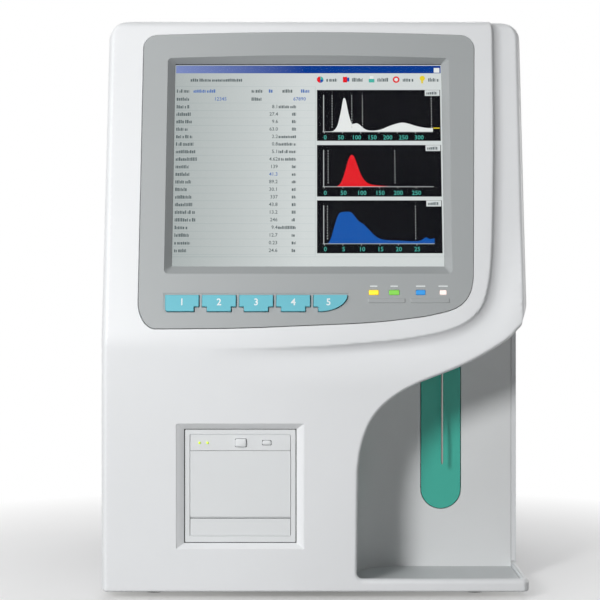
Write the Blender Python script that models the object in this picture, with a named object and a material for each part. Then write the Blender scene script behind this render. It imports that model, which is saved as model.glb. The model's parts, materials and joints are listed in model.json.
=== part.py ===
"""Bench-top haematology analyser as an assembly of separate pieces. Metres, +Z up.

The origin is under the middle of the case, on the bench. +X is the operator's right, -Y the front.
The upper front leans back and carries the display. A sample bay, open to the front and to the right,
holds the probe and the start bar. A small printer sits low on the left.
"""
import math

import bmesh
import bpy
from mathutils import Matrix, Vector

# Fits that every piece uses
GAP = 0.0003
OVERRUN = 0.004
SMOOTH_ANGLE = math.radians(35)

# Case
CASE_WIDTH = 0.337
CASE_DEPTH = 0.400
FACE_RISE = 0.257
FOOT_HEIGHT = 0.006
FOOT_RADIUS = 0.009
FOOT_BASE_RADIUS = 0.0077
FOOT_INSET = 0.040
SHELL_DEPTH = 0.092
SHELL_WALL = 0.004
COVER_WALL = 0.004
FRONT_LEAN = math.radians(11.5)
LEAN_START = 0.204
LEAN_BLEND = 0.010
CORNER_WIDTH = 0.009
CORNER_DEPTH = 0.035
TOP_CORNER_RADIUS = 0.014
TOP_EDGE_RADIUS = 0.006
CORNER_STEPS = 10
BLEND_STEPS = 8
PLATE = 0.002
PANEL_SETBACK = 0.012

# Vents in the sides of the cover
VENT_COUNT = 9
VENT_WIDTH = 0.004
VENT_LENGTH = 0.060
VENT_PITCH = 0.011
VENT_BOTTOM = 0.060
VENT_BACK_INSET = 0.045

# Groove that sets off the raised field round the display
GROOVE_MARGIN = 0.0258
GROOVE_DROP = 0.006
GROOVE_DEPTH = 0.0025
GROOVE_STEP = 0.0035
GROOVE_RAMP = 0.0125

# Sample bay
BAY_LEFT = 0.033
BAY_FLOOR = 0.0115
BAY_LIP = 0.0160
BAY_LIP_RADIUS = 0.0045
BAY_SIDE_RISE = 0.030
BAY_CURVE_HEIGHT = 0.134
BAY_LINER_WALL = 0.0025
BAY_BACK_CORNER = 0.040

# Display, bezel and keys. Heights are upright ones, though the face leans
BEZEL_LEFT_MARGIN = 0.0305
BEZEL_RIGHT_MARGIN = 0.0395
BEZEL_TOP_MARGIN = 0.0102
BEZEL_LOW_MARGIN = 0.0076
SCREEN_LEFT_MARGIN = 0.0250
SCREEN_RIGHT_MARGIN = 0.0260
SCREEN_TOP_MARGIN = 0.0266
SCREEN_LOW_MARGIN = 0.0500
KEY_ROW_RISE = 0.0196
KEY_ROW_START = 0.0196
KEY_ROW_SHARE = 0.5446
KEY_SPACE = 0.0026
LIGHT_RISE = 0.0282
LIGHT_X_SHARES = (0.691, 0.751, 0.829, 0.895)
LIGHT_WIDTH_SHARES = (0.0285, 0.0296, 0.0270, 0.0198)
STRIP_SHARES = ((0.674, 0.783), (0.799, 0.913))
STRIP_RISE = 0.0218
STRIP_HEIGHT = 0.0036
BOARD_RISE = 0.0210
BOARD_HEIGHT = 0.0260
BOARD_MARGIN = 0.0180
SCREEN_RECESS = 0.006
SCREEN_BEVEL = 0.0055
BEZEL_THICKNESS = 0.0068
BEZEL_CORNER = 0.011
BEZEL_LOW_CORNER_WIDTH = 0.014
BEZEL_LOW_CORNER_HEIGHT = 0.022
BEZEL_ARCH = 0.0024
BEZEL_ARCH_STEPS = 8
BEZEL_PROUD = 0.0006
PANEL_THICKNESS = 0.009
PANEL_BORDER = 0.010
WINDOW_THICKNESS = 0.0012
KEY_HEIGHT = 0.0131
KEY_NOTCH = 0.0038
KEY_PROUD = 0.0022
KEY_TRAVEL = 0.0015
KEY_COUNT = 5
KEY_FLANGE = 0.0012
KEY_CLEARANCE = 0.0004
KEY_LIP = 0.0010
STRIP_PROUD = 0.0012
LIGHT_HEIGHT = 0.0037
LIGHT_PROUD = 0.0004
BOARD_THICKNESS = 0.0016

# Printer
PRINTER_MARGIN = 0.0606
PRINTER_WIDTH = 0.0996
PRINTER_HEIGHT = 0.0975
DOOR_RISE = 0.0233
DOOR_HEIGHT = 0.0528
PRINTER_LOW = 0.0397
PRINTER_CHAMFER = 0.0060
DOOR_SIDE_RIM = 0.0045
DOOR_THICKNESS = 0.0040
PIN_RADIUS = 0.0010
PIN_CLEARANCE = 0.0002
PAPER_RADIUS = 0.019
PAPER_WIDTH = 0.057
PAPER_CORE_RADIUS = 0.006
PLATEN_RADIUS = 0.004
PRINTER_BODY_DEPTH = 0.052
LATCH_X_SHARE = 0.504
FEED_X_SHARE = 0.708
PRINTER_LIGHT_X_SHARES = (0.179, 0.242)
PRINTER_KEY_DROP = 0.0150
PLATEN_DROP = 0.0078
LATCH_WIDTH = 0.0087
LATCH_HEIGHT = 0.0063
LATCH_TRAVEL = 0.0015
FEED_WIDTH = 0.0070
FEED_HEIGHT = 0.0036
PRINTER_LIGHT_RADIUS = 0.0010
SMALL_KEY_CORNER = 0.0009
FRAME_THICKNESS = 0.0040
EAR_WIDTH = 0.003

# Start bar and probe
BAR_X_SHARE = 0.535
BAR_END_DROP = 0.0237
BAR_OVER_CURVE = 0.0040
PROBE_TIP_DROP = 0.0019
BAR_WIDTH = 0.0329
BAR_PROUD = 0.0008
BAR_TRAVEL = 0.002
BAR_CLEARANCE = 0.0006
PROBE_RADIUS = 0.0009
PROBE_STANDOFF = 0.015
PROBE_TRAVEL = 0.070
PULLEY_RADIUS = 0.008
BELT_THICKNESS = 0.0012
BELT_WIDTH = 0.005
ROD_RADIUS = 0.003
ROD_SPACING = 0.034
CARRIAGE_HEIGHT = 0.018
MOTOR_SIZE = 0.035
MOTOR_LENGTH = 0.028

SHAFT_RADIUS = 0.0025
MECHANISM_HALF = 0.045
BRACKET_DROP = 0.028
RINSE_DROP = 0.014
BRACKET_THICKNESS = 0.007
CARRIAGE_DEPTH = 0.012
CARRIAGE_OVERHANG = 0.007
RINSE_HEIGHT = 0.010
RINSE_WIDTH = 0.016
RUNNING = 0.0003
SWITCH_BODY = 0.010

# Wet system and electronics inside
BATH_RADIUS = 0.015
BATH_HEIGHT = 0.045
BATH_WALL = 0.0025
BATH_BRACKET = 0.004
BATH_RISE = 0.080
BATH_OFFSET = 0.025
PUMP_RADIUS = 0.022
PUMP_HEAD_RADIUS = 0.0176
PUMP_HEIGHT = 0.060
SYRINGE_WIDTH = 0.040
SYRINGE_DEPTH = 0.030
SYRINGE_HEIGHT = 0.110
SYRINGE_BARREL = 0.008
PUMP_X = -0.090
SYRINGE_X = -0.025
PUMP_ROW_Y = -0.070
SUPPLY_WIDTH = 0.075
SUPPLY_DEPTH = 0.110
SUPPLY_HEIGHT = 0.042
SUPPLY_X = 0.030
MAIN_BOARD_MARGIN = 0.0185
MAIN_BOARD_WIDTH = 0.160
MAIN_BOARD_HEIGHT = 0.150
MAIN_BOARD_LOW = 0.135
BOARD_POST = 0.006

# Rear fittings
PORT_NECK_RADIUS = 0.00315
PORT_BARB_RADIUS = 0.00405
PORT_FLANGE_RADIUS = 0.0063
PORT_LENGTH = 0.007
PORT_PITCH = 0.020
PORT_HEIGHT = 0.100
PORT_FIRST_X = -0.030
INLET_WIDTH = 0.028
INLET_HEIGHT = 0.022
INLET_MARGIN = 0.0435
INLET_Z = 0.060
SWITCH_WIDTH = 0.013
SWITCH_HEIGHT = 0.021
SWITCH_Z = 0.100
FAN_SIZE = 0.060
FAN_DEPTH = 0.015
FAN_WALL = 0.002
FAN_DROP = 0.131
FAN_X = 0.060
FAN_BLADES = 7
FAN_HUB_RADIUS = 0.012
FAN_SPOKE = 0.004
FAN_BLADE = 0.0012
FAN_TWIST = math.radians(35)
FLANGE = 0.002
INLET_DEPTH = 0.018
INLET_WALL = 0.002
INLET_PIN = 0.002
INLET_PIN_LENGTH = 0.009
DATA_DEPTH = 0.008
DATA_WALL = 0.0015
ROCKER_TILT = math.radians(6)
DATA_WIDTH = 0.032
DATA_HEIGHT = 0.012
DATA_MARGIN = 0.0585
DATA_Z = 0.060

# Places that follow from the sizes above
HALF = CASE_WIDTH / 2
FRONT = -CASE_DEPTH / 2
BACK = CASE_DEPTH / 2
SEAM = FRONT + SHELL_DEPTH
SLOPE = math.tan(FRONT_LEAN)
PLATE_TOP = FOOT_HEIGHT + GAP + PLATE
PANEL_FACE = BACK - PANEL_SETBACK
UP_FACE = 1 / math.cos(FRONT_LEAN)
CASE_HEIGHT = LEAN_START + FACE_RISE
GROOVE_RIGHT = HALF - GROOVE_MARGIN
GROOVE_BOTTOM = LEAN_START - GROOVE_DROP
BEZEL_LEFT = BEZEL_LEFT_MARGIN - HALF
BEZEL_RIGHT = HALF - BEZEL_RIGHT_MARGIN
BEZEL_LOW = LEAN_START + BEZEL_LOW_MARGIN
BEZEL_TOP = CASE_HEIGHT - BEZEL_TOP_MARGIN
BEZEL_WIDTH = BEZEL_RIGHT - BEZEL_LEFT
SCREEN_LOW = BEZEL_LOW + SCREEN_LOW_MARGIN
SCREEN_TOP = BEZEL_TOP - SCREEN_TOP_MARGIN
SCREEN_HEIGHT = (SCREEN_TOP - SCREEN_LOW) * UP_FACE
SCREEN_HEIGHT_CENTRE = (SCREEN_TOP + SCREEN_LOW) / 2
SCREEN_WIDTH = BEZEL_WIDTH - SCREEN_LEFT_MARGIN - SCREEN_RIGHT_MARGIN
SCREEN_X = BEZEL_LEFT + SCREEN_LEFT_MARGIN + SCREEN_WIDTH / 2
KEY_PITCH = KEY_ROW_SHARE * BEZEL_WIDTH / KEY_COUNT
KEY_WIDTH = KEY_PITCH - KEY_SPACE
PRINTER_LEFT = PRINTER_MARGIN - HALF
PRINTER_RIGHT = PRINTER_LEFT + PRINTER_WIDTH
PRINTER_TOP = PRINTER_LOW + PRINTER_HEIGHT
DOOR_LOW = PRINTER_LOW + DOOR_RISE
DOOR_TOP = DOOR_LOW + DOOR_HEIGHT
BAY_RIGHT_TOP = LEAN_START + BAY_SIDE_RISE
BAY_SHOULDER = BAY_RIGHT_TOP - BAY_CURVE_HEIGHT
BAR_X = BAY_LEFT + BAR_X_SHARE * (HALF - BAY_LEFT)
BAR_END_Z = BAY_SHOULDER - BAR_END_DROP
PROBE_TIP_Z = BAY_SHOULDER - PROBE_TIP_DROP
INLET_X = HALF - INLET_MARGIN
DATA_X = DATA_MARGIN - HALF
FAN_Z = CASE_HEIGHT - FAN_DROP
BRACKET_LOW = BAY_RIGHT_TOP - BRACKET_DROP
CARRIAGE_LOW = BRACKET_LOW + BRACKET_THICKNESS + 2 * (PULLEY_RADIUS + BELT_THICKNESS + RUNNING)
CARRIAGE_TOP = CARRIAGE_LOW + CARRIAGE_HEIGHT
BRACKET_TOP = (CARRIAGE_TOP + PROBE_TRAVEL + 2 * (PULLEY_RADIUS + BELT_THICKNESS + RUNNING)
               + BRACKET_THICKNESS + RUNNING)
PROBE_LENGTH = CARRIAGE_TOP + 2 * OVERRUN - PROBE_TIP_Z


def front_y(z):
    """The y of the front face at a height: upright, then a soft bend, then leaning back."""
    rise = z - LEAN_START
    if rise <= -LEAN_BLEND:
        return FRONT
    if rise >= LEAN_BLEND:
        return FRONT + rise * SLOPE
    return FRONT + SLOPE * (rise + LEAN_BLEND) ** 2 / (4 * LEAN_BLEND)


# Making and joining pieces

def look(name, colour, roughness=0.5, metallic=0.0):
    """A plain material."""
    material = bpy.data.materials.new(name)
    material.use_nodes = True
    shader = material.node_tree.nodes["Principled BSDF"]
    shader.inputs["Base Color"].default_value = (*colour, 1.0)
    shader.inputs["Roughness"].default_value = roughness
    shader.inputs["Metallic"].default_value = metallic
    return material


def piece(name, bm, material=None, at=(0, 0, 0), parent=None):
    """Put a finished bmesh in the scene, with its origin at a given place."""
    bmesh.ops.recalc_face_normals(bm, faces=bm.faces)
    mesh = bpy.data.meshes.new(name)
    bm.to_mesh(mesh)
    bm.free()
    mesh.shade_smooth()
    mesh.set_sharp_from_angle(angle=SMOOTH_ANGLE)
    thing = bpy.data.objects.new(name, mesh)
    bpy.context.collection.objects.link(thing)
    thing.location = at
    thing.parent = parent
    if material:
        mesh.materials.append(material)
    return thing


def tool(name, bm, at=(0, 0, 0), parent=None):
    """A cutter or a shape to be joined: it never counts as a piece."""
    thing = piece("tool_" + name, bm, at=at, parent=parent)
    thing.hide_render = True
    thing.display_type = "WIRE"
    return thing


def combine(target, other, operation):
    change = target.modifiers.new(operation.lower(), "BOOLEAN")
    change.operation = operation
    change.solver = "EXACT"
    change.object = other


def cut(target, *others):
    for other in others:
        combine(target, other, "DIFFERENCE")


def join(target, *others):
    for other in others:
        combine(target, other, "UNION")


def skin(rings):
    """A closed solid through rings of equal point counts, with both ends filled."""
    bm = bmesh.new()
    rows = [[bm.verts.new(point) for point in ring] for ring in rings]
    count = len(rows[0])
    for near, far in zip(rows, rows[1:]):
        for i in range(count):
            j = (i + 1) % count
            bm.faces.new((near[i], near[j], far[j], far[i]))
    bm.faces.new(rows[0])
    bm.faces.new(rows[-1])
    return bm


def on_axis(axis, along, point):
    """A point of an outline, set at a distance along the axis that the outline faces."""
    first, second = point
    return {"X": (along, first, second), "Y": (first, along, second), "Z": (first, second, along)}[axis]


def prism(outline, axis, low, high):
    """An outline pushed along an axis from low to high."""
    return skin([[on_axis(axis, along, point) for point in outline] for along in (low, high)])


def block(low, high):
    """A box from one corner to the other."""
    outline = [(low[0], low[1]), (high[0], low[1]), (high[0], high[1]), (low[0], high[1])]
    return prism(outline, "Z", low[2], high[2])


def circle(radius, steps, centre=(0, 0)):
    return [(centre[0] + radius * math.cos(math.tau * i / steps),
             centre[1] + radius * math.sin(math.tau * i / steps)) for i in range(steps)]


def arc(centre, radii, start, end, steps):
    """Points on an elliptical arc, both ends included. Angles in degrees."""
    points = []
    for i in range(steps + 1):
        angle = math.radians(start + (end - start) * i / steps)
        points.append((centre[0] + radii[0] * math.cos(angle), centre[1] + radii[1] * math.sin(angle)))
    return points


def rounded(low, high, radius, steps=4):
    """A rectangle with round corners."""
    corners = [((high[0] - radius, high[1] - radius), 0), ((low[0] + radius, high[1] - radius), 90),
               ((low[0] + radius, low[1] + radius), 180), ((high[0] - radius, low[1] + radius), 270)]
    points = []
    for centre, start in corners:
        points += arc(centre, (radius, radius), start, start + 90, steps)
    return points


def turned(profile, axis, steps):
    """A solid of revolution. Its profile is pairs of radius and place along the axis, no radius zero."""
    return skin([[on_axis(axis, along, point) for point in circle(radius, steps)]
                 for radius, along in profile])


def rod(axis, radius, low, high, steps=16):
    return turned([(radius, low), (radius, high)], axis, steps)


def grown(outline, distance):
    """A closed outline moved outwards by a distance. The outline runs anticlockwise."""
    points = []
    for i, here in enumerate(outline):
        before = Vector(here) - Vector(outline[i - 1])
        after = Vector(outline[(i + 1) % len(outline)]) - Vector(here)
        normals = [Vector((step.y, -step.x)).normalized() for step in (before, after)]
        lean = (normals[0] + normals[1]).normalized()
        reach = distance / lean.dot(normals[0])
        points.append((here[0] + lean.x * reach, here[1] + lean.y * reach))
    return points


# Case

def case_ring(z, inset, back):
    """The case's outline at a height, seen from above and drawn in by an inset."""
    corner = TOP_CORNER_RADIUS - inset
    edge = max(TOP_EDGE_RADIUS - inset, GAP)
    rise = max(0.0, z - (CASE_HEIGHT - inset - corner))
    lift = max(0.0, z - (CASE_HEIGHT - inset - edge))
    half = HALF - inset - corner + math.sqrt(max(corner ** 2 - rise ** 2, 0))
    front = front_y(z) + inset + edge - math.sqrt(max(edge ** 2 - lift ** 2, 0))
    centre = (half - CORNER_WIDTH + inset, front_y(z) + CORNER_DEPTH)
    right = arc(centre, (half - centre[0], centre[1] - front), 0, -90, CORNER_STEPS)
    left = [(-x, y) for x, y in reversed(right)]
    return [(x, y, z) for x, y in [(half, back)] + right + left + [(-half, back)]]


def case_levels(inset, low):
    """Heights that the case's form needs: its bend and its round top."""
    top = CASE_HEIGHT - inset
    corner = TOP_CORNER_RADIUS - inset
    bend = [LEAN_START - LEAN_BLEND + 2 * LEAN_BLEND * i / BLEND_STEPS for i in range(BLEND_STEPS + 1)]
    crown = [top - corner + corner * math.sin(math.pi / 2 * i / CORNER_STEPS)
             for i in range(CORNER_STEPS + 1)]
    return [low] + bend + crown


def case_solid(inset, low, back):
    return skin([case_ring(z, inset, back) for z in case_levels(inset, low)])


BAY_CURVE_SHARES = (
    (0.010, 0.000), (0.020, 0.111), (0.042, 0.200), (0.070, 0.272), (0.108, 0.333), (0.158, 0.389),
    (0.224, 0.444), (0.290, 0.483), (0.378, 0.522), (0.489, 0.567), (0.576, 0.606), (0.665, 0.650),
    (0.753, 0.694), (0.841, 0.750), (0.900, 0.795), (0.940, 0.837), (0.967, 0.880), (0.985, 0.935),
    (1.000, 1.000))


def bay_curve():
    """The sweeping upper edge of the sample bay, from its left wall to the case's right side."""
    return [(BAY_LEFT + across * (HALF - BAY_LEFT), BAY_SHOULDER + up * (BAY_RIGHT_TOP - BAY_SHOULDER))
            for across, up in BAY_CURVE_SHARES]


def bay_outline(low, radius):
    """The bay seen from the front, run past the case's right side."""
    past = HALF + OVERRUN
    corner = arc((BAY_LEFT + radius, low + radius), (radius, radius), 270, 180, 4)
    return ([(past, low)] + corner + bay_curve() + [(past, BAY_RIGHT_TOP)])[::-1]


GROOVE_SHARES = (
    (1.010, 1.040), (1.000, 1.000), (0.994, 0.700), (0.982, 0.464), (0.964, 0.289), (0.952, 0.186),
    (0.922, 0.137), (0.872, 0.103), (0.809, 0.080), (0.698, 0.055), (0.559, 0.030), (0.419, 0.019),
    (0.139, 0.004), (-0.077, 0.000), (-0.420, -0.006), (-0.736, -0.015))
GROOVE_LIFT_SHARES = (0, 0, 0, 0, 0, 0, 0, 0, 0, 0, 0.05, 0.1, 0.25, 0.4, 0.8, 1.3)
GROOVE_RIM_SHARE = 0.4


def groove_cutter():
    """A valley that is steep towards the display and eases out the other way, fading at its end."""
    route = [Vector((across * GROOVE_RIGHT, GROOVE_BOTTOM + up * (CASE_HEIGHT - GROOVE_BOTTOM)))
             for across, up in GROOVE_SHARES]
    rim = GROOVE_RIM_SHARE * GROOVE_DEPTH
    profile = [(0, -rim), (0, rim / 2), (GROOVE_STEP, GROOVE_DEPTH), (GROOVE_STEP + GROOVE_RAMP / 2, rim),
               (GROOVE_STEP + GROOVE_RAMP * 1.5, -rim)]
    rings = []
    for i, here in enumerate(route):
        along = (route[min(i + 1, len(route) - 1)] - route[max(i - 1, 0)]).normalized()
        out = Vector((-along.y, along.x))
        lift = GROOVE_LIFT_SHARES[i] * GROOVE_DEPTH
        ring = []
        for across, depth in profile:
            spot = here + out * across
            ring.append((spot.x, front_y(spot.y) + depth - lift, spot.y))
        rings.append(ring)
    return tool("groove", skin(rings))


def face_empty():
    """The leaning face's own frame: x across, y into the case, z up the face."""
    empty = bpy.data.objects.new("leaning_face", None)
    bpy.context.collection.objects.link(empty)
    empty.location = (0, front_y(SCREEN_HEIGHT_CENTRE), SCREEN_HEIGHT_CENTRE)
    empty.rotation_euler = (-FRONT_LEAN, 0, 0)
    return empty


def up_face(z):
    """A height in the room, as a distance up the leaning face from the display's middle."""
    return (z - SCREEN_HEIGHT_CENTRE) * UP_FACE


BEZEL_LOW_SHARES = (
    (0.058, 0.003), (0.240, 0.002), (0.487, 0.011), (0.679, 0.021), (0.815, 0.037), (0.867, 0.047),
    (0.919, 0.060), (0.949, 0.079), (0.972, 0.116), (0.981, 0.163))


def bezel_outline():
    """The grey bezel's outline on the leaning face: a low arch above, a rising curve below."""
    wide = BEZEL_RIGHT - BEZEL_LEFT
    tall = BEZEL_TOP - BEZEL_LOW
    low = [(BEZEL_LEFT + across * wide, up_face(BEZEL_LOW + up * tall)) for across, up in BEZEL_LOW_SHARES]
    top = up_face(BEZEL_TOP) - BEZEL_ARCH
    radii = (BEZEL_CORNER, BEZEL_CORNER)
    right = arc((BEZEL_RIGHT - BEZEL_CORNER, top - BEZEL_CORNER), radii, 0, 90, 6)
    left = arc((BEZEL_LEFT + BEZEL_CORNER, top - BEZEL_CORNER), radii, 90, 180, 6)
    arch = []
    for i in range(1, BEZEL_ARCH_STEPS):
        share = i / BEZEL_ARCH_STEPS
        x = right[-1][0] + (left[0][0] - right[-1][0]) * share
        arch.append((x, top + BEZEL_ARCH * math.sin(math.pi * share)))
    radii = (BEZEL_LOW_CORNER_WIDTH, BEZEL_LOW_CORNER_HEIGHT)
    foot = arc((BEZEL_LEFT + radii[0], up_face(BEZEL_LOW) + radii[1]), radii, 180, 262, 8)
    return low + right + arch + left + foot


def printer_low_high(inset):
    return ((PRINTER_LEFT + inset, PRINTER_LOW + inset), (PRINTER_RIGHT - inset, PRINTER_TOP - inset))


def front_shell(white, face):
    shell = piece("front_shell", case_solid(0, FOOT_HEIGHT, SEAM), white)
    hollow = tool("shell_hollow", case_solid(SHELL_WALL, FOOT_HEIGHT - OVERRUN, SEAM + OVERRUN))
    bay = tool("bay", prism(bay_outline(BAY_LIP, BAY_LIP_RADIUS), "Y", FRONT - OVERRUN, SEAM + OVERRUN))
    bezel = tool("bezel_hole", prism(grown(bezel_outline(), GAP), "Y", -OVERRUN, SHELL_WALL * 2),
                 parent=face)
    wide = rounded(*printer_low_high(0), GAP, 1)
    tight = rounded(*printer_low_high(PRINTER_CHAMFER - GAP), GAP, 1)
    printer = skin([[on_axis("Y", y, point) for point in outline] for y, outline in
                    ((FRONT - GAP, wide), (FRONT, wide), (FRONT + SHELL_WALL, tight),
                     (FRONT + SHELL_WALL + OVERRUN, tight))])
    cut(shell, hollow, bay, groove_cutter(), bezel, tool("printer_hole", printer))


def cover_outline(inset, low):
    """The rear cover's section from the front: straight sides and round top corners."""
    radius = TOP_CORNER_RADIUS - inset
    half = HALF - inset
    top = CASE_HEIGHT - inset
    crown = (arc((half - radius, top - radius), (radius, radius), 0, 90, CORNER_STEPS)
             + arc((radius - half, top - radius), (radius, radius), 90, 180, CORNER_STEPS))
    return [(half, low)] + crown + [(-half, low)]


def top_cover(white):
    """The rear cover: sides and roof in one, with vents low down."""
    cover = piece("top_cover", prism(cover_outline(0, FOOT_HEIGHT), "Y", SEAM + GAP, BACK), white)
    inner = prism(cover_outline(COVER_WALL, FOOT_HEIGHT - OVERRUN), "Y", SEAM - OVERRUN, BACK + OVERRUN)
    cut(cover, tool("cover_hollow", inner))
    for side in (-1, 1):
        for i in range(VENT_COUNT):
            y = BACK - VENT_BACK_INSET - i * VENT_PITCH
            slot = rounded((y - VENT_WIDTH, VENT_BOTTOM), (y, VENT_BOTTOM + VENT_LENGTH), VENT_WIDTH / 2.1, 2)
            ends = sorted((side * (HALF + OVERRUN), side * (HALF - COVER_WALL - OVERRUN)))
            cut(cover, tool("vent", prism(slot, "X", *ends)))


def base_plate(steel):
    """The folded steel base that everything inside stands on."""
    inset = max(SHELL_WALL, COVER_WALL) + GAP
    ring = case_ring(FOOT_HEIGHT, inset, PANEL_FACE - PLATE - GAP)
    outline = [(x, y) for x, y, z in ring]
    piece("base_plate", prism(outline, "Z", FOOT_HEIGHT + GAP, PLATE_TOP), steel)


def feet(rubber):
    """Four rubber feet under the base, a little narrower where they meet the bench."""
    height = FOOT_HEIGHT
    for row, side in (("front", -1), ("rear", 1)):
        for hand, across in (("left", -1), ("right", 1)):
            at = (across * (HALF - FOOT_INSET), side * (BACK - FOOT_INSET), 0)
            profile = [(FOOT_BASE_RADIUS, 0), (FOOT_RADIUS, height / 2), (FOOT_RADIUS, height)]
            piece(f"foot_{row}_{hand}", turned(profile, "Z", 24), rubber, at=at)


def rear_panel(steel):
    """The set-back rear panel, with holes for the fan, the mains inlet, the switch and the ports."""
    outline = cover_outline(COVER_WALL + GAP, FOOT_HEIGHT + GAP)
    panel = piece("rear_panel", prism(outline, "Y", PANEL_FACE - PLATE, PANEL_FACE), steel)
    span = (PANEL_FACE - PLATE - OVERRUN, PANEL_FACE + OVERRUN)
    fan = [(x + FAN_X, z + FAN_Z) for x, z in circle(FAN_SIZE / 2 - FAN_WALL * 2, 32)]
    cut(panel, tool("fan_hole", prism(fan, "Y", *span)))
    for name, x, z, wide, tall in rear_windows():
        hole = rounded((x - wide / 2, z - tall / 2), (x + wide / 2, z + tall / 2), GAP * 2, 2)
        cut(panel, tool(name, prism(grown(hole, GAP), "Y", *span)))
    for i in range(len(PORT_NAMES)):
        hole = [(x + PORT_FIRST_X + i * PORT_PITCH, z + PORT_HEIGHT)
                for x, z in circle(PORT_NECK_RADIUS + GAP, 16)]
        cut(panel, tool("port_hole", prism(hole, "Y", *span)))


def rear_windows():
    """Name, place and size of each square hole in the rear panel."""
    return (("power_inlet", INLET_X, INLET_Z, INLET_WIDTH, INLET_HEIGHT),
            ("power_switch", INLET_X, SWITCH_Z, SWITCH_WIDTH, SWITCH_HEIGHT),
            ("data_port", DATA_X, DATA_Z, DATA_WIDTH, DATA_HEIGHT))


# Sample bay

def curve_height(x):
    """The height of the bay's upper edge at a place across the case."""
    points = bay_curve()
    for (near, low), (far, high) in zip(points, points[1:]):
        if x <= far:
            return low + (high - low) * (x - near) / (far - near)
    return BAY_RIGHT_TOP


BAR_TOP_Z = curve_height(BAR_X + BAR_WIDTH / 2) + BAR_OVER_CURVE


def bar_outline(distance):
    """The start bar from the front: straight sides, round lower end."""
    radius = BAR_WIDTH / 2
    low = arc((BAR_X, BAR_END_Z), (radius, radius), 180, 360, 16)
    return grown(low + [(BAR_X + radius, BAR_TOP_Z), (BAR_X - radius, BAR_TOP_Z)], distance)


def plan_outline(grow):
    """The bay from above: the left wall turns into the back wall on a wide curve."""
    corner = arc((BAY_LEFT + BAY_BACK_CORNER, SEAM - BAY_BACK_CORNER),
                 (BAY_BACK_CORNER + grow, BAY_BACK_CORNER + grow), 180, 90, 10)
    past = HALF + OVERRUN * 2
    return ([(BAY_LEFT - grow, FRONT - OVERRUN)] + corner
            + [(past, SEAM + grow), (past, FRONT - OVERRUN)])[::-1]


def bay_liner(white):
    """One moulding for the bay's left wall, back wall and ceiling, behind the front shell."""
    wall = BAY_LINER_WALL
    low = PLATE_TOP + GAP
    limit = HALF - max(COVER_WALL, SHELL_WALL) - GAP
    outer = grown(bay_outline(low + wall, BAY_LIP_RADIUS), wall)
    liner = piece("bay_liner", prism(outer, "Y", FRONT, SEAM + wall), white)
    plan = tool("liner_plan", prism(plan_outline(wall), "Z", low, CASE_HEIGHT))
    room = tool("liner_room", case_solid(SHELL_WALL + GAP, low, SEAM + OVERRUN * 2))
    edge = tool("liner_edge", block((0, FRONT - OVERRUN, low), (limit, SEAM + OVERRUN, CASE_HEIGHT)))
    for other in (plan, room, edge):
        combine(liner, other, "INTERSECT")
    space = tool("bay_space", prism(bay_outline(low - OVERRUN, GAP), "Y", FRONT - OVERRUN,
                                    SEAM + OVERRUN))
    combine(space, tool("bay_plan", prism(plan_outline(0), "Z", low - OVERRUN * 2, CASE_HEIGHT)),
            "INTERSECT")
    bar = tool("bar_hole", prism(bar_outline(BAR_CLEARANCE), "Y",
                                 SEAM - BAR_PROUD - BAR_CLEARANCE, SEAM + wall + OVERRUN))
    probe = tool("probe_hole", rod("Z", PROBE_RADIUS + BAR_CLEARANCE, BAY_SHOULDER, BAY_RIGHT_TOP, 12),
                 at=(BAR_X, SEAM - PROBE_STANDOFF, 0))
    cut(liner, space, bar, probe)


def bay_tray(grey):
    """The bay's floor, a little below the front lip so that drips stay on it."""
    radius = BAY_BACK_CORNER - GAP
    left = BAY_LEFT + GAP
    right = HALF - SHELL_WALL - GAP
    front = FRONT + SHELL_WALL + GAP
    back = SEAM - GAP
    corner = arc((left + radius, back - radius), (radius, radius), 90, 180, 10)
    inset = (CORNER_WIDTH - SHELL_WALL - GAP, CORNER_DEPTH - SHELL_WALL - GAP)
    turn = arc((right - inset[0], front + inset[1]), inset, -90, 0, CORNER_STEPS)
    outline = corner + [(left, front)] + turn + [(right, back)]
    piece("bay_tray", prism(outline, "Z", PLATE_TOP + GAP, BAY_FLOOR), grey)


def start_bar(teal):
    """The long teal bar in the bay's back wall: pressing it starts the sample."""
    at = (BAR_X, SEAM - BAR_PROUD, BAR_END_Z)
    outline = [(x - BAR_X, z - BAR_END_Z) for x, z in bar_outline(0)]
    piece("start_bar", prism(outline, "Y", 0, BAR_PROUD + BAY_LINER_WALL), teal, at=at)


# Display and keys

def screen_corner(side, grow):
    return (SCREEN_X + side * (SCREEN_WIDTH / 2 + grow), side * (SCREEN_HEIGHT / 2 + grow))


def screen_rect(grow):
    return rounded(screen_corner(-1, grow), screen_corner(1, grow), GAP, 1)


def key_outline(index):
    """A key from the front. A square notch is cut from each lower corner next to another key."""
    left = -KEY_WIDTH / 2
    right = KEY_WIDTH / 2
    low = -KEY_HEIGHT / 2
    top = KEY_HEIGHT / 2
    step = low + KEY_NOTCH
    start = [(left, top), (left, low)]
    if index > 0:
        start = [(left, top), (left, step), (left + KEY_NOTCH, step), (left + KEY_NOTCH, low)]
    if index < KEY_COUNT - 1:
        return start + [(right - KEY_NOTCH, low), (right - KEY_NOTCH, step), (right, step), (right, top)]
    return start[:-1] + arc((left + KEY_NOTCH, top), (KEY_WIDTH - KEY_NOTCH, KEY_HEIGHT), -90, 0, 10)


def key_place(index):
    return (BEZEL_LEFT + KEY_ROW_START + (index + 0.5) * KEY_PITCH, 0, up_face(BEZEL_LOW + KEY_ROW_RISE))


def moved(outline, place):
    return [(x + place[0], z + place[2]) for x, z in outline]


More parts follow.
